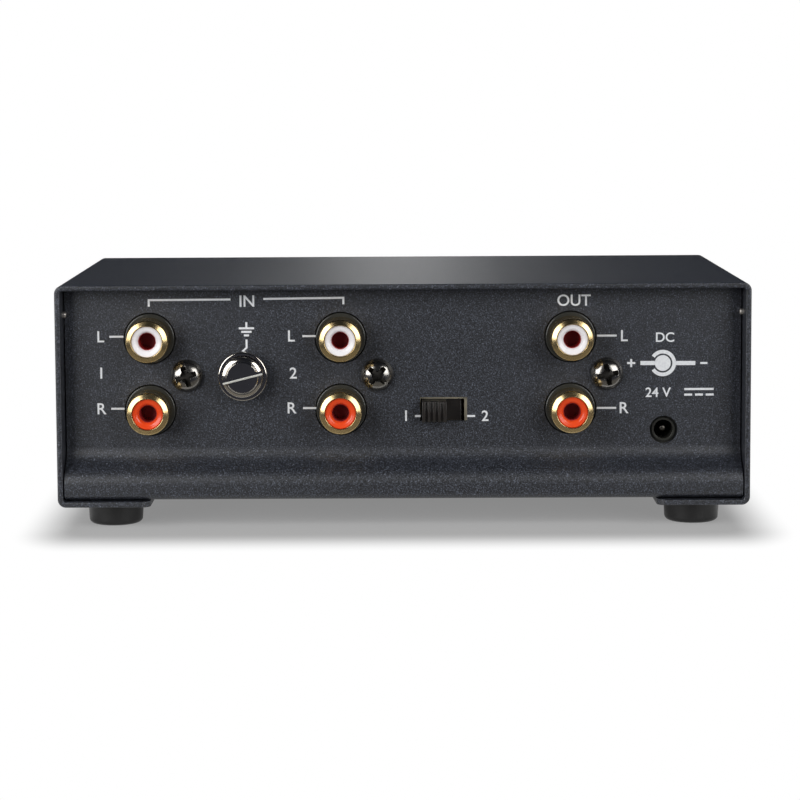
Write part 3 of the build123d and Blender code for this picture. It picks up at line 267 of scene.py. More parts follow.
def second_material(mesh, material, where):
    """Give the faces picked out by a mask a second material."""
    mesh.materials.append(material)
    mesh.polygons.foreach_set("material_index", where.astype(np.int32))


# ---------------------------------------------------------------- materials
def linear(code):
    """sRGB hex code as linear colour with alpha 1."""
    value = np.array([int(code[k:k + 2], 16) for k in (1, 3, 5)]) / 255
    value = np.where(value <= 0.04045, value / 12.92, ((value + 0.055) / 1.055) ** 2.4)
    return (*value.tolist(), 1.0)


def add_node(tree, kind, settings=None, links=None, stops=()):
    """Add a node, set its properties or unlinked inputs, and link its inputs from sockets or from the first
    output of other nodes. A colour ramp also gets its stops, each a position and a hex code or a grey."""
    node = tree.nodes.new(kind)
    for key, value in (settings or {}).items():
        if isinstance(key, str) and hasattr(node, key):
            setattr(node, key, value)
        else:
            node.inputs[key].default_value = value
    for key, source in (links or {}).items():
        tree.links.new(source.outputs[0] if hasattr(source, "outputs") else source, node.inputs[key])
    if stops:
        elements = node.color_ramp.elements
        while len(elements) < len(stops):
            elements.new(0.5)
        for element, (position, value) in zip(elements, stops):
            element.position = position
            element.color = linear(value) if isinstance(value, str) else (value, value, value, 1)
    return node


def empty_tree(owner):
    """Cleared node tree of a material or a world."""
    owner.use_nodes = True
    owner.node_tree.nodes.clear()
    return owner.node_tree


def blank(name):
    """New material with its empty tree, and object coordinates in millimetres."""
    material = bpy.data.materials.new(name)
    tree = empty_tree(material)
    where = add_node(tree, "ShaderNodeTexCoord").outputs["Object"]
    mm = add_node(tree, "ShaderNodeVectorMath", {"operation": "SCALE", "Scale": METRE}, {0: where})
    return material, tree, mm


BLOB = 0.6                        # a noise of scale BLOB / size has blobs about that size across


def powder_coat():
    """Steel under an epoxy-polyester powder coat, oven-cured to a fine texture: a dark blue-grey grain with
    black pits and a few pale flecks, which also stand in for the grain's glints as painted highlights. The
    real
    grain is finer: 0.15 mm, and 0.21 mm for the flecks, is as coarse as it needs to show."""
    material, tree, mm = blank("powder_coat_fine_texture")
    grain = add_node(tree, "ShaderNodeTexNoise", {"Scale": BLOB / 0.15, "Roughness": 0.65}, {"Vector": mm})
    sparks = add_node(tree, "ShaderNodeTexNoise", {"Scale": BLOB / 0.21, "Detail": 0.0}, {"Vector": mm})
    cloud = add_node(tree, "ShaderNodeTexNoise", {"Scale": BLOB / 9.0}, {"Vector": mm})
    colour = add_node(tree, "ShaderNodeValToRGB", links={0: grain},
                      stops=[(0.32, "#090a0d"), (0.46, "#1b1d23"), (0.58, "#343841"), (0.72, "#646a78")])
    shade = add_node(tree, "ShaderNodeValToRGB", links={0: cloud}, stops=[(0.3, 0.88), (0.7, 1.0)])
    # pale flecks in the colour, partly painted highlights standing in for the grain's glints
    fleck = add_node(tree, "ShaderNodeValToRGB", links={0: sparks}, stops=[(0.77, 0.0), (0.90, 1.0)])
    shaded = add_node(tree, "ShaderNodeMix", {"data_type": "RGBA", "blend_type": "MULTIPLY", 0: 1.0},
                      {6: colour, 7: shade}).outputs[2]
    flecked = add_node(tree, "ShaderNodeMix", {"data_type": "RGBA", 7: linear("#757a87")},
                       {0: fleck, 6: shaded}).outputs[2]
    sheen = add_node(tree, "ShaderNodeValToRGB", links={0: grain}, stops=[(0.3, 0.38), (0.7, 0.50)])
    relief = add_node(tree, "ShaderNodeBump", {"Strength": 0.8, "Distance": 0.05 * MM}, {"Height": grain})
    coat = add_node(tree, "ShaderNodeBsdfPrincipled", {"Specular IOR Level": 0.8},
                    {"Base Color": flecked, "Roughness": sheen, "Normal": relief})
    add_node(tree, "ShaderNodeOutputMaterial", links={0: coat})
    return material


def plated(name, code, roughness, marks, worn=None):
    """Electroplated metal: a clear reflection, worn in patches 2.2 mm across, faint tool marks round Y."""
    material, tree, mm = blank(name)
    patches = add_node(tree, "ShaderNodeTexNoise", {"Scale": BLOB / 2.2, "Detail": 3.0}, {"Vector": mm})
    gloss = add_node(tree, "ShaderNodeValToRGB", links={0: patches},
                     stops=[(0.25, roughness * 0.8), (0.75, roughness * 1.5)])
    drawn = add_node(tree, "ShaderNodeMapping", {"Scale": (0.35, 1.0, 0.35)}, {"Vector": mm})
    lines = add_node(tree, "ShaderNodeTexNoise", {"Scale": BLOB / 0.35, "Detail": 1.0}, {"Vector": drawn})
    relief = add_node(tree, "ShaderNodeBump", {"Strength": marks, "Distance": 0.012 * MM}, {"Height": lines})
    metal = add_node(tree, "ShaderNodeBsdfPrincipled", {"Metallic": 1.0, "Base Color": linear(code)},
                     {"Roughness": gloss, "Normal": relief})
    if worn:
        colour = add_node(tree, "ShaderNodeValToRGB", links={0: patches}, stops=[(0.3, code), (0.7, worn)])
        tree.links.new(colour.outputs[0], metal.inputs["Base Color"])
    add_node(tree, "ShaderNodeOutputMaterial", links={0: metal})
    return material


def moulded(name, code, roughness, grain=0.5, relief=0.15, second=None):
    """Moulded plastic, ink or lacquer: a soft gloss and a slight orange peel, its bumps grain mm across."""
    material, tree, mm = blank(name)
    peel = add_node(tree, "ShaderNodeTexNoise", {"Scale": BLOB / grain}, {"Vector": mm})
    gloss = add_node(tree, "ShaderNodeValToRGB", links={0: peel},
                     stops=[(0.3, roughness * 0.85), (0.7, roughness * 1.2)])
    bumps = add_node(tree, "ShaderNodeBump", {"Strength": relief, "Distance": 0.03 * MM}, {"Height": peel})
    plastic = add_node(tree, "ShaderNodeBsdfPrincipled", {"Base Color": linear(code)},
                       {"Roughness": gloss, "Normal": bumps})
    if second:
        colour = add_node(tree, "ShaderNodeValToRGB", links={0: peel}, stops=[(0.3, code), (0.7, second)])
        tree.links.new(colour.outputs[0], plastic.inputs["Base Color"])
    add_node(tree, "ShaderNodeOutputMaterial", links={0: plastic})
    return material


def rubber():
    """Moulded rubber: near-black, with a broad sheen and a dusty bloom 0.9 mm across."""
    material, tree, mm = blank("rubber_moulded_black")
    bloom = add_node(tree, "ShaderNodeTexNoise", {"Scale": BLOB / 0.9, "Detail": 4.0, "Roughness": 0.65},
                     {"Vector": mm})
    colour = add_node(tree, "ShaderNodeValToRGB", links={0: bloom},
                      stops=[(0.35, "#050505"), (0.75, "#0b0a0a")])
    sheen = add_node(tree, "ShaderNodeValToRGB", links={0: bloom}, stops=[(0.3, 0.32), (0.7, 0.42)])
    relief = add_node(tree, "ShaderNodeBump", {"Strength": 0.12, "Distance": 0.03 * MM}, {"Height": bloom})
    skin = add_node(tree, "ShaderNodeBsdfPrincipled",
                    links={"Base Color": colour, "Roughness": sheen, "Normal": relief})
    add_node(tree, "ShaderNodeOutputMaterial", links={0: skin})
    return material


def laminate():
    """Glass-epoxy laminate under green solder mask: the weave shows faintly. A wave of scale s has a thread
    every pi/(10 s), here 0.9 mm."""
    material, tree, mm = blank("glass_laminate_green_mask")
    weave = add_node(tree, "ShaderNodeTexWave", {"Scale": 0.35, "Distortion": 1.5}, {"Vector": mm})
    weave = weave.outputs["Fac"]
    colour = add_node(tree, "ShaderNodeValToRGB", links={0: weave},
                      stops=[(0.2, "#0d4a28"), (0.8, "#14572f")])
    relief = add_node(tree, "ShaderNodeBump", {"Strength": 0.2, "Distance": 0.02 * MM}, {"Height": weave})
    mask = add_node(tree, "ShaderNodeBsdfPrincipled", {"Roughness": 0.3},
                    {"Base Color": colour, "Normal": relief})
    add_node(tree, "ShaderNodeOutputMaterial", links={0: mask})
    return material


def clear_epoxy():
    """Cast clear epoxy of the lamp: colourless and smooth, with a trace of haze in patches 1.2 mm across."""
    material, tree, mm = blank("epoxy_cast_clear")
    haze = add_node(tree, "ShaderNodeTexNoise", {"Scale": BLOB / 1.2}, {"Vector": mm})
    colour = add_node(tree, "ShaderNodeValToRGB", links={0: haze}, stops=[(0.3, "#e6e8ec"), (0.7, "#f6f7fa")])
    gloss = add_node(tree, "ShaderNodeValToRGB", links={0: haze}, stops=[(0.3, 0.05), (0.7, 0.12)])
    lens = add_node(tree, "ShaderNodeBsdfPrincipled", {"Transmission Weight": 0.85},
                    {"Base Color": colour, "Roughness": gloss})
    add_node(tree, "ShaderNodeOutputMaterial", links={0: lens})
    return material


COAT = powder_coat()
# pale warm yellow, bright with soft edges to its reflections
GOLD = plated("gold_plate_on_turned_brass", "#dcc391", 0.2, 0.12, "#d3b984")
# bright and nearly a mirror, a little warm
NICKEL = plated("nickel_plate_on_turned_brass", "#dcd6cb", 0.09, 0.24, "#cdc6bb")
# the same plate broken up by cutter marks, so it reads as a pale matt bar; it is laid only on the lower half
# of the slot's floor, where light falls, so its paleness is partly a painted highlight
SLOT_FLOOR_LIT = plated("nickel_plate_milled_and_painted_lit_in_the_slot", "#e6e6e2", 0.55, 0.4, "#d2d2cd")
# smoky grey mirror, and a darker, duller copy on the floor of the cross where the driver fits; that darkness
# is painted shade in the recess
BLACK_NICKEL = plated("black_nickel_plate_on_steel", "#a3a09b", 0.18, 0.16, "#8e8b86")
RECESS_PAINTED_SHADE = plated("black_nickel_plate_darkened_as_painted_shade_in_the_recess", "#5a5753", 0.4, 0.24, "#4a4844")
# cool silver with a soft shine
ZINC = plated("zinc_plate_on_pressed_steel", "#c3c6c9", 0.24, 0.24, "#b4b7ba")
# warm grey, satin; the switch's frame is paler and duller
TIN = plated("tin_plate_on_stamped_brass", "#b9b5ac", 0.30, 0.24, "#a8a49b")
PRESSED = plated("tin_plate_on_pressed_frame", "#ddd5bf", 0.5, 0.24, "#c9c1aa")
# dark grey and dull: the pin deep in the power socket's hole is darkened as painted shade
PIN_IN_SHADE = plated("nickel_plate_darkened_as_painted_shade_in_the_hole", "#77736c", 0.35, 0.24, "#5e5a54")
# small bright spots
CHIP = plated("bare_steel_where_the_coat_is_chipped", "#d4cfc8", 0.35, 0.4)
# clean glossy insulators, and the deep red guide seen down their bores
WHITE = moulded("abs_moulded_white", "#fbf8fa", 0.22, 1.5, 0.05)
RED = moulded("abs_moulded_red", "#ee4a1e", 0.22, 1.5, 0.05, "#f35325")
MAROON = moulded("phenolic_moulded_maroon", "#a5302f", 0.35, 1.0)
# socket bodies with a wet gloss, and a knob with a satin one
GLOSS_BLACK = moulded("pbt_moulded_gloss_black", "#383834", 0.2, 2.5, 0.04, "#2e2e2b")
SATIN_BLACK = moulded("abs_moulded_satin_black", "#2a2623", 0.34, 0.4, 0.15, "#221f1d")
# flat, slightly grainy white
INK_WHITE = moulded("epoxy_ink_screen_printed_white", "#dcdee2", 0.55, 0.3, 0.2, "#eceef0")
RUBBER = rubber()
# mottled brown card
BROWN = moulded("phenolic_paper_sheet_punched", "#4f2f17", 0.5, 0.6, 0.2, "#5d3a1e")
LAMINATE = laminate()
# inside the case: waxy green wire, matt black chips, blue lacquer, red boxes, dark sleeves
WIRE = moulded("pvc_extruded_green", "#1c6b33", 0.4, 1.0)
EPOXY_BLACK = moulded("epoxy_moulded_black", "#161617", 0.55, 0.25, 0.3)
LACQUER = moulded("lacquer_dipped_blue", "#3d7fa8", 0.3, 0.8, 0.1, "#4b8cb4")
FILM_RED = moulded("pbt_moulded_box_red", "#8f2b20", 0.35, 1.0)
SLEEVE = moulded("pvc_shrunk_sleeve_dark", "#1a1d2a", 0.3, 1.2)
LENS = clear_epoxy()

# ---------------------------------------------------------------- nodes that keep their own mesh
KEPT = {
    ZINC: ["foot_screws", "foot_press_nuts", "board_standoffs", "board_screws"],
    TIN: ["socket_earth_strips", "earth_lug", "switch_terminals", "switch_bridges", "power_socket_spring"]
    + [f"{socket}_contacts" for socket in SOCKETS],
    NICKEL: ["earth_bush", "earth_nut"],
    PRESSED: ["switch_frame"],
    PIN_IN_SHADE: ["power_socket_pin"],
    BROWN: ["switch_base"],
    LAMINATE: ["circuit_board"],
    WIRE: ["earth_wire"],
    EPOXY_BLACK: ["amplifier_chips", "input_transistors", "voltage_regulator", "supply_diodes"],
    LACQUER: ["resistors"],
    FILM_RED: ["film_capacitors"],
    SLEEVE: ["coupling_capacitors", "supply_capacitors"],
    LENS: ["power_lamp"],
}
for material, names in KEPT.items():
    for name in names:
        mesh = nodes[name].data
        mesh.materials.clear()
        mesh.materials.append(material)

# ---------------------------------------------------------------- case
half = SHEET / 2
edge_x, low_z, high_z = SIDE - half, UNDERSIDE + half, TOP - half
left_half = [(-FLANGE_END, low_z), (-edge_x, low_z), (-edge_x, high_z)]
right_half = [(edge_x, high_z), (edge_x, low_z), (FLANGE_END, low_z)]
cover_line = rounded(left_half + right_half, FOLD - half, 10)
sleeve = folded_strip(cover_line, SHEET, REAR, FRONT, CUT_EDGE, FLANGE_CORNER)
cover = mesh_from("case_cover", [(sleeve, False, True)])
place("cover_sleeve", cover, "case", COAT, ["case_cover"])
eased("chassis_tray", "case", COAT, 0.14, 3)

# small domed stops on the cover's inside, rubbed bare, beside both panels
dome = rounded([(STOP_RADIUS, 0), (STOP_RADIUS, STOP_RISE), (0, STOP_RISE)], [0, 0.25, 0], 5)
stops = []
for side in (-1, 1):
    for y in (PANEL - STOP_GAP, FRONT_PANEL + STOP_GAP):
        cap = turned(np.vstack([[0, 0], dome]), (y, STOP_Z), 32)
        across = side * (SIDE - SHEET - cap[..., 1])
        stops.append((np.stack([across, cap[..., 0], cap[..., 2]], -1), False, True))
place("cover_stops", mesh_from("cover_stops", stops), "case", CHIP)

# ---------------------------------------------------------------- feet
foot_line = rounded(
    [(FOOT_TOP, UNDERSIDE), (FOOT_FACE, 0), (POCKET, 0), (POCKET, POCKET_DEPTH), (FOOT_BORE, POCKET_DEPTH),
     (FOOT_BORE, UNDERSIDE)],
    [0.15, 0.9, 0.15, 0.1, 0.1, 0.1], 7, 0.05, True)
for name in ("foot_rear_left", "foot_rear_right", "foot_front_left", "foot_front_right"):
    foot = mesh_from(name, [(turned(foot_line, box_of(name)[2, :2], 96, "z"), True, True)])
    place(name + "_rubber", foot, "case", RUBBER, [name])

# ---------------------------------------------------------------- phono sockets
# the shell's mouth is a broad cone, its edges broken
mouth = rounded(
    [(SHELL_BORE, 0.5), (SHELL_BORE, 0.0), (MOUTH, 0.0), (SHELL, MOUTH_DEPTH), (SHELL, 2.0)],
    [0, 0.1, 0.12, 0.42, 0], 6, 0.02)
shell_line = np.vstack([
    [SHELL, BOSS_FACE], (mouth + (0, SHELL_FRONT))[::-1], [SHELL_BORE, SOCKET_END], [SHELL_TAIL, SOCKET_END],
    [SHELL_TAIL, BOSS_FACE]])
# the insulator's dish is a quarter ellipse down to its bore
bend = np.linspace(0, np.pi / 2, 8)
dish = np.stack([DISH_FLOOR + (DISH_RADIUS - DISH_FLOOR) * (1 - np.sin(bend)),
                 FACE + DISH_LIP + (DISH - DISH_LIP) * (1 - np.cos(bend))], 1)
insulator_line = np.vstack([
    [INSULATOR, FACE + 0.06], [INSULATOR - 0.06, FACE], [DISH_RADIUS + 0.08, FACE], dish,
    [PIN_HOLE, DISH_END + 0.12], [PIN_HOLE, TAIL_END], [INSULATOR, TAIL_END]])
guide_line = [
    (GUIDE_OUTER, GUIDE_START), (GUIDE_INNER, GUIDE_START), (GUIDE_INNER, GUIDE_FLOOR), (0, GUIDE_FLOOR),
    (0, GUIDE_END), (GUIDE_OUTER, GUIDE_END)]
for socket in SOCKETS:
    eased(f"{socket}_body", "case", GLOSS_BLACK, 0.1)
    for side, plastic, slot in (("right", RED, "red_insulator"), ("left", WHITE, "white_insulator")):
        axis = box_of(f"{socket}_shell_{side}")[2, [0, 2]]
        shell = mesh_from("shell", [(turned(shell_line, axis, 128), True, True)])
        place(f"{socket}_shell_{side}_plated", shell, "case", GOLD, [f"{socket}_shell_{side}"])
        insulator = mesh_from("insulator", [(turned(insulator_line, axis, 128), True, True)])
        stands_for = [f"{socket}_insulator_{side}"]
        place(f"{socket}_insulator_{side}_moulded", insulator, "case", plastic, stands_for)
        guide = mesh_from("lining", [(turned(guide_line, axis, 96), True, True)])
        place(f"{socket}_pin_guide_{side}", guide, "case", MAROON)


# ---------------------------------------------------------------- socket screws
def head_dome(r):
    """Height of the pan head at radius r: H*(1 - (r/R)^p)^(1/p)."""
    return HEAD_HEIGHT * np.maximum(1 - (r / HEAD_RADIUS) ** HEAD_POWER, 0) ** (1 / HEAD_POWER)


def cross_head(centre, turn):
    """Cross-head screw on a polar grid: a cross of two tapered wings and a cone is pressed into the dome.
    A wing is full within 1.2 of the middle and gone at 2.1, and its walls lean over 0.14."""
    even = 2.3                    # the grid is even this far out, then closes up towards the rim
    wing_end, wing_taper, wing_half, wing_wall = 2.1, 0.9, 0.44, 0.14
    cone_radius, cone_wall = 1.05, 0.45
    rim = HEAD_RADIUS - (HEAD_RADIUS - even) * (1 - np.linspace(0, 1, 18)[1:]) ** 1.6
    t = np.linspace(0, 2 * np.pi, 192, endpoint=False)
    r, t = np.meshgrid(np.concatenate([np.linspace(0, even, 56), rim]), t, indexing="ij")
    u, v = r * np.cos(t - turn), r * np.sin(t - turn)
    reach, across = np.maximum(abs(u), abs(v)), np.minimum(abs(u), abs(v))
    taper = np.clip((wing_end - reach) / wing_taper, 0, 1) ** 0.8
    wing = taper * np.clip((wing_half + 0.06 * taper - across) / wing_wall, 0, 1)
    cone = np.clip((cone_radius - r) / cone_wall, 0, 1)
    depth = RECESS_DEPTH * np.maximum(wing, cone * 0.95)
    y = PANEL - head_dome(r) + depth * (r < RECESS_RADIUS)
    front = np.stack([centre[0] + r * np.cos(t), y, centre[1] + r * np.sin(t)], -1)
    tip = PANEL + SHANK_LENGTH
    shank = turned([(HEAD_RADIUS, PANEL), (SHANK, PANEL), (SHANK, tip), (0, tip)], centre, 192)
    return np.concatenate([front, shank[1:]])


screw_x = [x + SCREW_OFFSET for x in SOCKET_X]
heads = [(cross_head((x, SCREW_Z), radians(turn)), False, True) for x, turn in zip(screw_x, SCREW_TURNS)]
screws = mesh_from("socket_screws", heads)
place("socket_screws_plated", screws, "case", BLACK_NICKEL, ["socket_screws"])
spot = face_middles(screws)
radial = np.hypot(abs(spot[:, :1] - np.array(screw_x)).min(1), spot[:, 2] - SCREW_Z)
# faces sunk into the cross get the darker, duller plate: painted shade in the recess
pressed = (radial < RECESS_RADIUS) & (spot[:, 1] > PANEL - head_dome(radial) + 0.15) & (spot[:, 1] < PANEL)
second_material(screws, RECESS_PAINTED_SHADE, pressed)

# ---------------------------------------------------------------- earth terminal
washer_line = rounded(
    [(WASHER_BORE, WASHER_BACK), (WASHER_RADIUS, WASHER_BACK), (WASHER_RADIUS, WASHER_FRONT),
     (WASHER_BORE, WASHER_FRONT)],
    [0, 0.15, 0.28, 0], 6, 0.05, True)
washer = mesh_from("earth_washer", [(turned(washer_line, EARTH, 128), True, True)])
place("earth_washer_plated", washer, "earth_washer", NICKEL, ["earth_washer"])


def thumb_face():
    """Face of the thumb screw on chords along its slot: w crosses the slot, and each chord runs to
    +-sqrt(R^2 - w^2). The face is flat to 2.97, steps down 0.2 on a cone, falls 0.34 on a second cone from
    3.3 out, and turns over at the side. Within SLOT_HALF of the middle it is sunk by SLOT_DEPTH."""
    w = np.concatenate([
        [0, 0.12, 0.40, 0.43], np.linspace(0.5, 2.85, 34), np.linspace(2.92, 3.5, 22),
        THUMB * np.sin(np.linspace(1.07, np.pi / 2, 18))])
    w = np.concatenate([-w[:0:-1], w])
    share = np.sin(np.linspace(-np.pi / 2, np.pi / 2, 221))
    w, share = np.meshgrid(w, share, indexing="ij")
    u = share * np.sqrt(np.maximum(THUMB ** 2 - w ** 2, 0))
    r = np.hypot(u, w)
    fall = np.clip((r - THUMB + 0.2) / 0.2, 0, 1)
    cone = 0.2 * np.clip((r - 2.97) / 0.2, 0, 1) + 0.34 * np.clip((r - 3.3) / 0.7, 0, 1) ** 1.2
    drop = cone + 0.25 * (1 - np.sqrt(np.maximum(1 - fall ** 2, 0)))
    sunk = np.where(abs(w) < SLOT_HALF, np.maximum(drop, SLOT_DEPTH), drop)
    c, s = np.cos(SLOT_TURN), np.sin(SLOT_TURN)
    return np.stack([EARTH_X + u * c - w * s, THUMB_FRONT + sunk, EARTH_Z + u * s + w * c], -1)


def knurl(t):
    """Forty grooves round the thumb screw's side, each ((1 + cos 40t)/2)^1.5 of 0.09 deep."""
    return -0.09 * (0.5 + 0.5 * np.cos(40 * t)) ** 1.5


side_line = [
    (THUMB - 0.02, SEAT - 1.2), (THUMB, SEAT - 1.1), (THUMB, SEAT - 0.12), (THUMB - 0.12, SEAT),
    (THREAD, SEAT), (THREAD, THREAD_END), (0, THREAD_END)]
rim_and_thread = turned(side_line, EARTH, 320, "y", knurl)
thumb = mesh_from("earth_screw", [(thumb_face(), False, False), (rim_and_thread, False, True)])
place("earth_screw_plated", thumb, "earth_screw", NICKEL, ["earth_screw"])
spot = face_middles(thumb)
across = (spot[:, 2] - EARTH_Z) * np.cos(SLOT_TURN) - (spot[:, 0] - EARTH_X) * np.sin(SLOT_TURN)
# the lower part of the slot's floor, the half that catches the light: cutter marks and a painted highlight
second_material(thumb, SLOT_FLOOR_LIT, (across > -0.42) & (across < -0.1) & (spot[:, 1] < SEAT - 1.15))

# ---------------------------------------------------------------- switch, power socket, lamp holder
eased("switch_slider", "switch_slider", SATIN_BLACK, 0.13, 3)
eased("power_socket_body", "case", GLOSS_BLACK, 0.12)
eased("lamp_holder", "case", GLOSS_BLACK, 0.1)

# ---------------------------------------------------------------- screen print
PLUG = (50.87, 31.85)             # middle of the polarity mark
STROKES = [
    (LINE, [
        # a bracket to each side of IN
        [(-49.6, 43.45), (-49.6, 44.52)], [(-49.8, 44.72), (-33.6, 44.78)],
        [(-11.55, 43.72), (-11.55, 44.79)], [(-27.2, 44.86), (-11.35, 45.0)],
        # leaders from the letters and numbers to the sockets and the switch
        [(-57.42, 37.57), (-54.65, 37.57)], [(-57.28, 23.35), (-54.65, 23.35)],
        [(-19.6, 37.5), (-17.0, 37.5)], [(-19.6, 23.3), (-17.0, 23.3)],
        [(38.0, 37.3), (41.85, 37.3)], [(38.0, 23.05), (41.8, 23.05)],
        [(2.35, 21.62), (3.45, 21.62)], [(12.6, 21.58), (14.15, 21.58)],
        # earth mark above the thumb screw, with its kinked leader
        [(-30.55, 40.3), (-30.55, 39.3)], [(-32.05, 39.1), (-29.05, 39.1)],
        [(-31.55, 38.4), (-29.55, 38.4)], [(-31.05, 37.7), (-30.05, 37.7)],
        [(-30.55, 36.9), (-30.55, 35.3), (-31.4, 34.5)],
    ]),
    # polarity mark: pin to plus, sleeve to minus
    (0.72, [arc(PLUG, 2.24, 214, 506, 64)]),
    (0.82, [[(46.5, 31.87), (49.31, 31.87)], [(53.48, 31.83), (57.24, 31.83)]]),
    (LINE, [
        [(43.9, 31.88), (45.5, 31.88)], [(44.7, 31.08), (44.7, 31.68)], [(44.7, 32.08), (44.7, 32.68)],
        [(58.2, 31.82), (59.6, 31.82)],
    ]),
    # direct current mark
    (0.42, [
        [(55.1, 26.7), (60.85, 26.7)], [(55.1, 25.6), (56.65, 25.6)], [(57.2, 25.6), (58.75, 25.6)],
        [(59.3, 25.6), (60.85, 25.6)],
    ]),
]
strokes = [(ribbon(path, width), False, True) for width, paths in STROKES for path in paths]
dot = turned([(0, PANEL - INK), (1.56, PANEL - INK), (1.56, PANEL + INK), (0, PANEL + INK)], PLUG, 64)
lines = mesh_from("printed_lines", strokes + [(dot, False, True)])
place("printed_lines", lines, "case", INK_WHITE)

WORDS = [
    # name, letters, middle in x and z, cap height
    ("print_in", "IN", -30.4, 44.45, 2.25),
    ("print_out", "OUT", 33.5, 44.3, 2.25),
    ("print_left_0", "L", -59.1, 37.58, 2.2),
    ("print_right_0", "R", -59.1, 23.36, 2.2),
    ("print_left_1", "L", -21.75, 37.55, 2.2),
    ("print_right_1", "R", -21.75, 23.35, 2.2),
    ("print_left_2", "L", 43.35, 37.28, 2.2),
    ("print_right_2", "R", 43.35, 23.08, 2.2),
    ("print_input_1", "1", -59.12, 30.42, 2.2),
    ("print_input_2", "2", -21.46, 30.24, 2.2),
    ("print_switch_1", "1", 0.6, 21.7, 2.1),
    ("print_switch_2", "2", 16.1, 21.62, 2.1),
    ("print_dc", "DC", 51.3, 36.94, 1.9),
    ("print_volts", "24 V", 50.0, 26.1, 1.9),
]
for name, words, x, z, height in WORDS:
    # flat letters on the panel's face, scaled to the cap height and centred at (x, z)
    curve = bpy.data.curves.new(name, "FONT")
    curve.body, curve.extrude, curve.resolution_u, curve.offset = words, 1.0, 6, 0.012
    maker = link(name + "_maker", curve)
    bpy.context.view_layer.update()
    mesh = bpy.data.meshes.new_from_object(maker.evaluated_get(bpy.context.evaluated_depsgraph_get()))
    bpy.data.objects.remove(maker)
    points = np.empty(len(mesh.vertices) * 3)
    mesh.vertices.foreach_get("co", points)
    points = points.reshape(-1, 3)
    low, high = points.min(0), points.max(0)
    scale = height / (high[1] - low[1])
    flat = (points - (low + high) / 2) * (scale, scale, INK)
    moved = np.stack([x + flat[:, 0], PANEL - flat[:, 2], z + flat[:, 1]], 1) * MM
    mesh.vertices.foreach_set("co", moved.ravel())
    mesh.name = name
    mesh.update()
    place(name, mesh, "case", INK_WHITE)

# ---------------------------------------------------------------- camera, metres
SENSOR = 36.0                     # millimetres
FOCAL_LENGTH, PICTURE_WIDTH = 2440.14, 800      # pixels
CAMERA_PLACE = (-0.0011765, -0.5050837, 0.0886082)
camera_data = bpy.data.cameras.new("camera")
camera_data.sensor_width, camera_data.lens = SENSOR, FOCAL_LENGTH / PICTURE_WIDTH * SENSOR
# a slight shift keeps the uprights nearly parallel
camera_data.shift_x, camera_data.shift_y = 0.0309, -0.12
camera = link("camera", camera_data)
yaw = Matrix.Rotation(radians(0.4982), 4, "Z")
pitch = Matrix.Rotation(radians(90) + radians(-5.3999), 4, "X")
roll = Matrix.Rotation(radians(-0.3458), 4, "Z")
camera.matrix_world = Matrix.Translation(CAMERA_PLACE) @ yaw @ pitch @ roll
bpy.context.scene.camera = camera

# ---------------------------------------------------------------- studio, metres
FLOOR_GLOW = 0.24                 # under and beside the object
AMBIENT = 0.09                    # light of the world
BACKDROP_FADE = (0.13, 0.42)      # where the board turns into a white backdrop, from the middle
SHADOW_ZONE = (0.063, 0.037, 0.0)     # half sizes of the patch of floor where the shadow shows in full
SHADOW_FADE = (0.002, 0.021)      # where the camera sees the floor turn white, from the edge of that patch
SHADOW_HURRY = (1.6, 1.0, 1.0)    # how much faster it does so along each axis


def stage_plane(name, size, where, tilt, material):
    """Flat rectangle of the studio, turned by tilt (x, z) in degrees."""
    corners = np.array([(-1, -1, 0), (1, -1, 0), (1, 1, 0), (-1, 1, 0)]) * (size[0] / 2, size[1] / 2, 1)
    mesh = bpy.data.meshes.new(name)
    mesh.from_pydata(corners.tolist(), [], [(0, 1, 2, 3)])
    mesh.materials.append(material)
    plane = link(name, mesh)
    turn = Matrix.Rotation(radians(tilt[1]), 4, "Z") @ Matrix.Rotation(radians(tilt[0]), 4, "X")
    plane.matrix_world = Matrix.Translation(where) @ turn
    return plane


def seen_rays(tree):
    """The ray's kinds, and 1 for what the camera, a reflection or a clear piece shows, 0 for other light."""
    path = add_node(tree, "ShaderNodeLightPath").outputs
    kinds = {0: path["Is Camera Ray"], 1: path["Is Glossy Ray"]}
    seen = add_node(tree, "ShaderNodeMath", {"operation": "MAXIMUM"}, kinds)
    kinds = {0: seen, 1: path["Is Transmission Ray"]}
    return path, add_node(tree, "ShaderNodeMath", {"operation": "MAXIMUM"}, kinds)


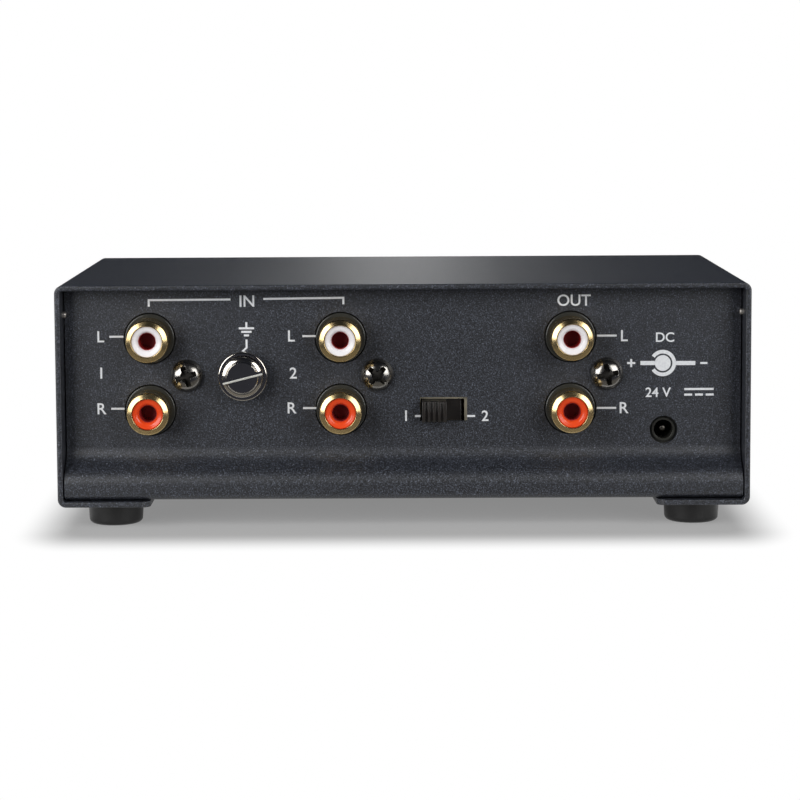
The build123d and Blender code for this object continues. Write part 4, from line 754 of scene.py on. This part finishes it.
def floor_paint():
    """Matt board with a steady glow where it is seen, so that it reads as white and keeps the object's
    shadow. Farther out the board fades into a glow of 1, as a curved studio backdrop does. The fade is a
    smooth step of the distance from the middle and, for the camera, also of the length of
    max(|p| - SHADOW_ZONE, 0) * SHADOW_HURRY; the larger of the two counts."""
    material = bpy.data.materials.new("studio_board_pale")
    tree = empty_tree(material)
    where = add_node(tree, "ShaderNodeTexCoord").outputs["Object"]
    path, seen = seen_rays(tree)
    away = add_node(tree, "ShaderNodeVectorMath", {"operation": "LENGTH"}, {0: where}).outputs["Value"]
    fade = {"interpolation_type": "SMOOTHSTEP", "From Min": BACKDROP_FADE[0], "From Max": BACKDROP_FADE[1]}
    far = add_node(tree, "ShaderNodeMapRange", fade, {"Value": away})
    size = add_node(tree, "ShaderNodeVectorMath", {"operation": "ABSOLUTE"}, {0: where})
    past = add_node(tree, "ShaderNodeVectorMath", {"operation": "SUBTRACT", 1: SHADOW_ZONE}, {0: size})
    past = add_node(tree, "ShaderNodeVectorMath", {"operation": "MULTIPLY", 1: SHADOW_HURRY}, {0: past})
    past = add_node(tree, "ShaderNodeVectorMath", {"operation": "MAXIMUM", 1: (0.0, 0.0, 0.0)}, {0: past})
    past = add_node(tree, "ShaderNodeVectorMath", {"operation": "LENGTH"}, {0: past}).outputs["Value"]
    fade = {"interpolation_type": "SMOOTHSTEP", "From Min": SHADOW_FADE[0], "From Max": SHADOW_FADE[1]}
    clear = add_node(tree, "ShaderNodeMapRange", fade, {"Value": past})
    clear = add_node(tree, "ShaderNodeMath", {"operation": "MULTIPLY"}, {0: clear, 1: path["Is Camera Ray"]})
    white = add_node(tree, "ShaderNodeMath", {"operation": "MAXIMUM"}, {0: far, 1: clear})
    glow = add_node(tree, "ShaderNodeMapRange", {"To Min": FLOOR_GLOW, "To Max": 1.0}, {"Value": white})
    glow = add_node(tree, "ShaderNodeMath", {"operation": "MULTIPLY"}, {0: seen, 1: glow})
    faded = add_node(tree, "ShaderNodeMath", {"operation": "MULTIPLY"}, {0: seen, 1: white})
    # the board's grey for gathered light, for reflections and for the camera; the camera's darker grey
    # darkens the floor close round the object before it fades to white, a painted shadow that deepens the
    # real one
    paint = {"data_type": "RGBA", 6: linear("#5a5a5a"), 7: linear("#e2e2e2")}
    board = add_node(tree, "ShaderNodeMix", paint, {0: seen}).outputs[2]
    paint = {"data_type": "RGBA", 7: linear("#9c9c9c")}
    board = add_node(tree, "ShaderNodeMix", paint, {0: path["Is Camera Ray"], 6: board}).outputs[2]
    paint = {"data_type": "RGBA", 7: linear("#000000")}
    board = add_node(tree, "ShaderNodeMix", paint, {0: faded, 6: board}).outputs[2]
    matt = add_node(tree, "ShaderNodeBsdfDiffuse", links={"Color": board})
    light = add_node(tree, "ShaderNodeEmission", {"Color": linear("#ffffff")}, {"Strength": glow})
    both = add_node(tree, "ShaderNodeAddShader", links={0: matt, 1: light})
    add_node(tree, "ShaderNodeOutputMaterial", links={0: both})
    return material


stage_plane("floor", (8.0, 8.0), (0, 0, 0), (0, 0), floor_paint())


def flag(name, size, where, tilt, shade="#1c1f26"):
    """Card darker than the backdrop that only reflections see, as a black flag beside a camera."""
    material = bpy.data.materials.new("studio_flag_cloth_dark")
    tree = empty_tree(material)
    cloth = add_node(tree, "ShaderNodeEmission", {"Color": linear(shade), "Strength": 1.0})
    add_node(tree, "ShaderNodeOutputMaterial", links={0: cloth})
    card = stage_plane(name, size, where, tilt, material)
    card.visible_camera = card.visible_diffuse = card.visible_transmission = card.visible_shadow = False


flag("flag_front", (4.0, 3.0), (0, -1.6, 1.45), (90, 0))
flag("flag_ceiling", (4.0, 4.0), (0, -0.1, 1.9), (0, 0))
flag("flag_left", (4.0, 2.0), (-1.7, 0.2, 0.97), (90, 90))
flag("flag_right", (4.0, 2.0), (1.7, 0.2, 0.97), (90, 90))
flag("flag_floor", (2.6, 1.5), (0, -0.83, 0.0005), (0, 0), "#34363f")
flag("flag_step", (2.6, 0.036), (0, -0.062, 0.0005), (0, 0), "#7a7772")
flag("flag_back_left", (1.6, 2.4), (-0.85, 1.6, 0.6), (90, 0))
flag("flag_back_right", (1.6, 2.4), (0.85, 1.6, 0.6), (90, 0))

world = bpy.data.worlds.new("studio")
bpy.context.scene.world = world
tree = empty_tree(world)
_, seen = seen_rays(tree)
level = add_node(tree, "ShaderNodeMapRange", {"To Min": AMBIENT, "To Max": 1.0}, {"Value": seen})
background = add_node(tree, "ShaderNodeBackground", {"Color": linear("#ffffff")}, {"Strength": level})
add_node(tree, "ShaderNodeOutputWorld", links={0: background})


def softbox(name, size, level, where, aim):
    """Rectangular soft light that looks at a point and gives it an irradiance of pi times level.
    Its watts are level * pi^2 * distance^2."""
    data = bpy.data.lights.new(name, "AREA")
    towards = Matrix.Translation(where).translation - Matrix.Translation(aim).translation
    data.shape, data.size, data.size_y = "RECTANGLE", size[0], size[1]
    data.energy = level * (np.pi * towards.length) ** 2
    lamp = link(name, data)
    lamp.visible_camera = False
    lamp.matrix_world = Matrix.Translation(where) @ towards.to_track_quat("Z", "Y").to_matrix().to_4x4()
    return lamp


softbox("softbox_left", (0.32, 0.34), 0.72, (-0.33, -0.36, 0.18), (0, -0.03, 0.03))
softbox("softbox_right", (0.34, 0.36), 0.55, (0.36, -0.40, 0.20), (0, -0.03, 0.03))
softbox("softbox_back", (0.09, 0.5), 0.0100, (0, 1.5, 0.33), (0, 0, 0.04))
softbox("softbox_top", (1.1, 0.6), 0.60, (0.0, 0.45, 1.0), (0, 0, 0.02)).visible_glossy = False

bpy.context.scene.view_settings.view_transform = "Standard"
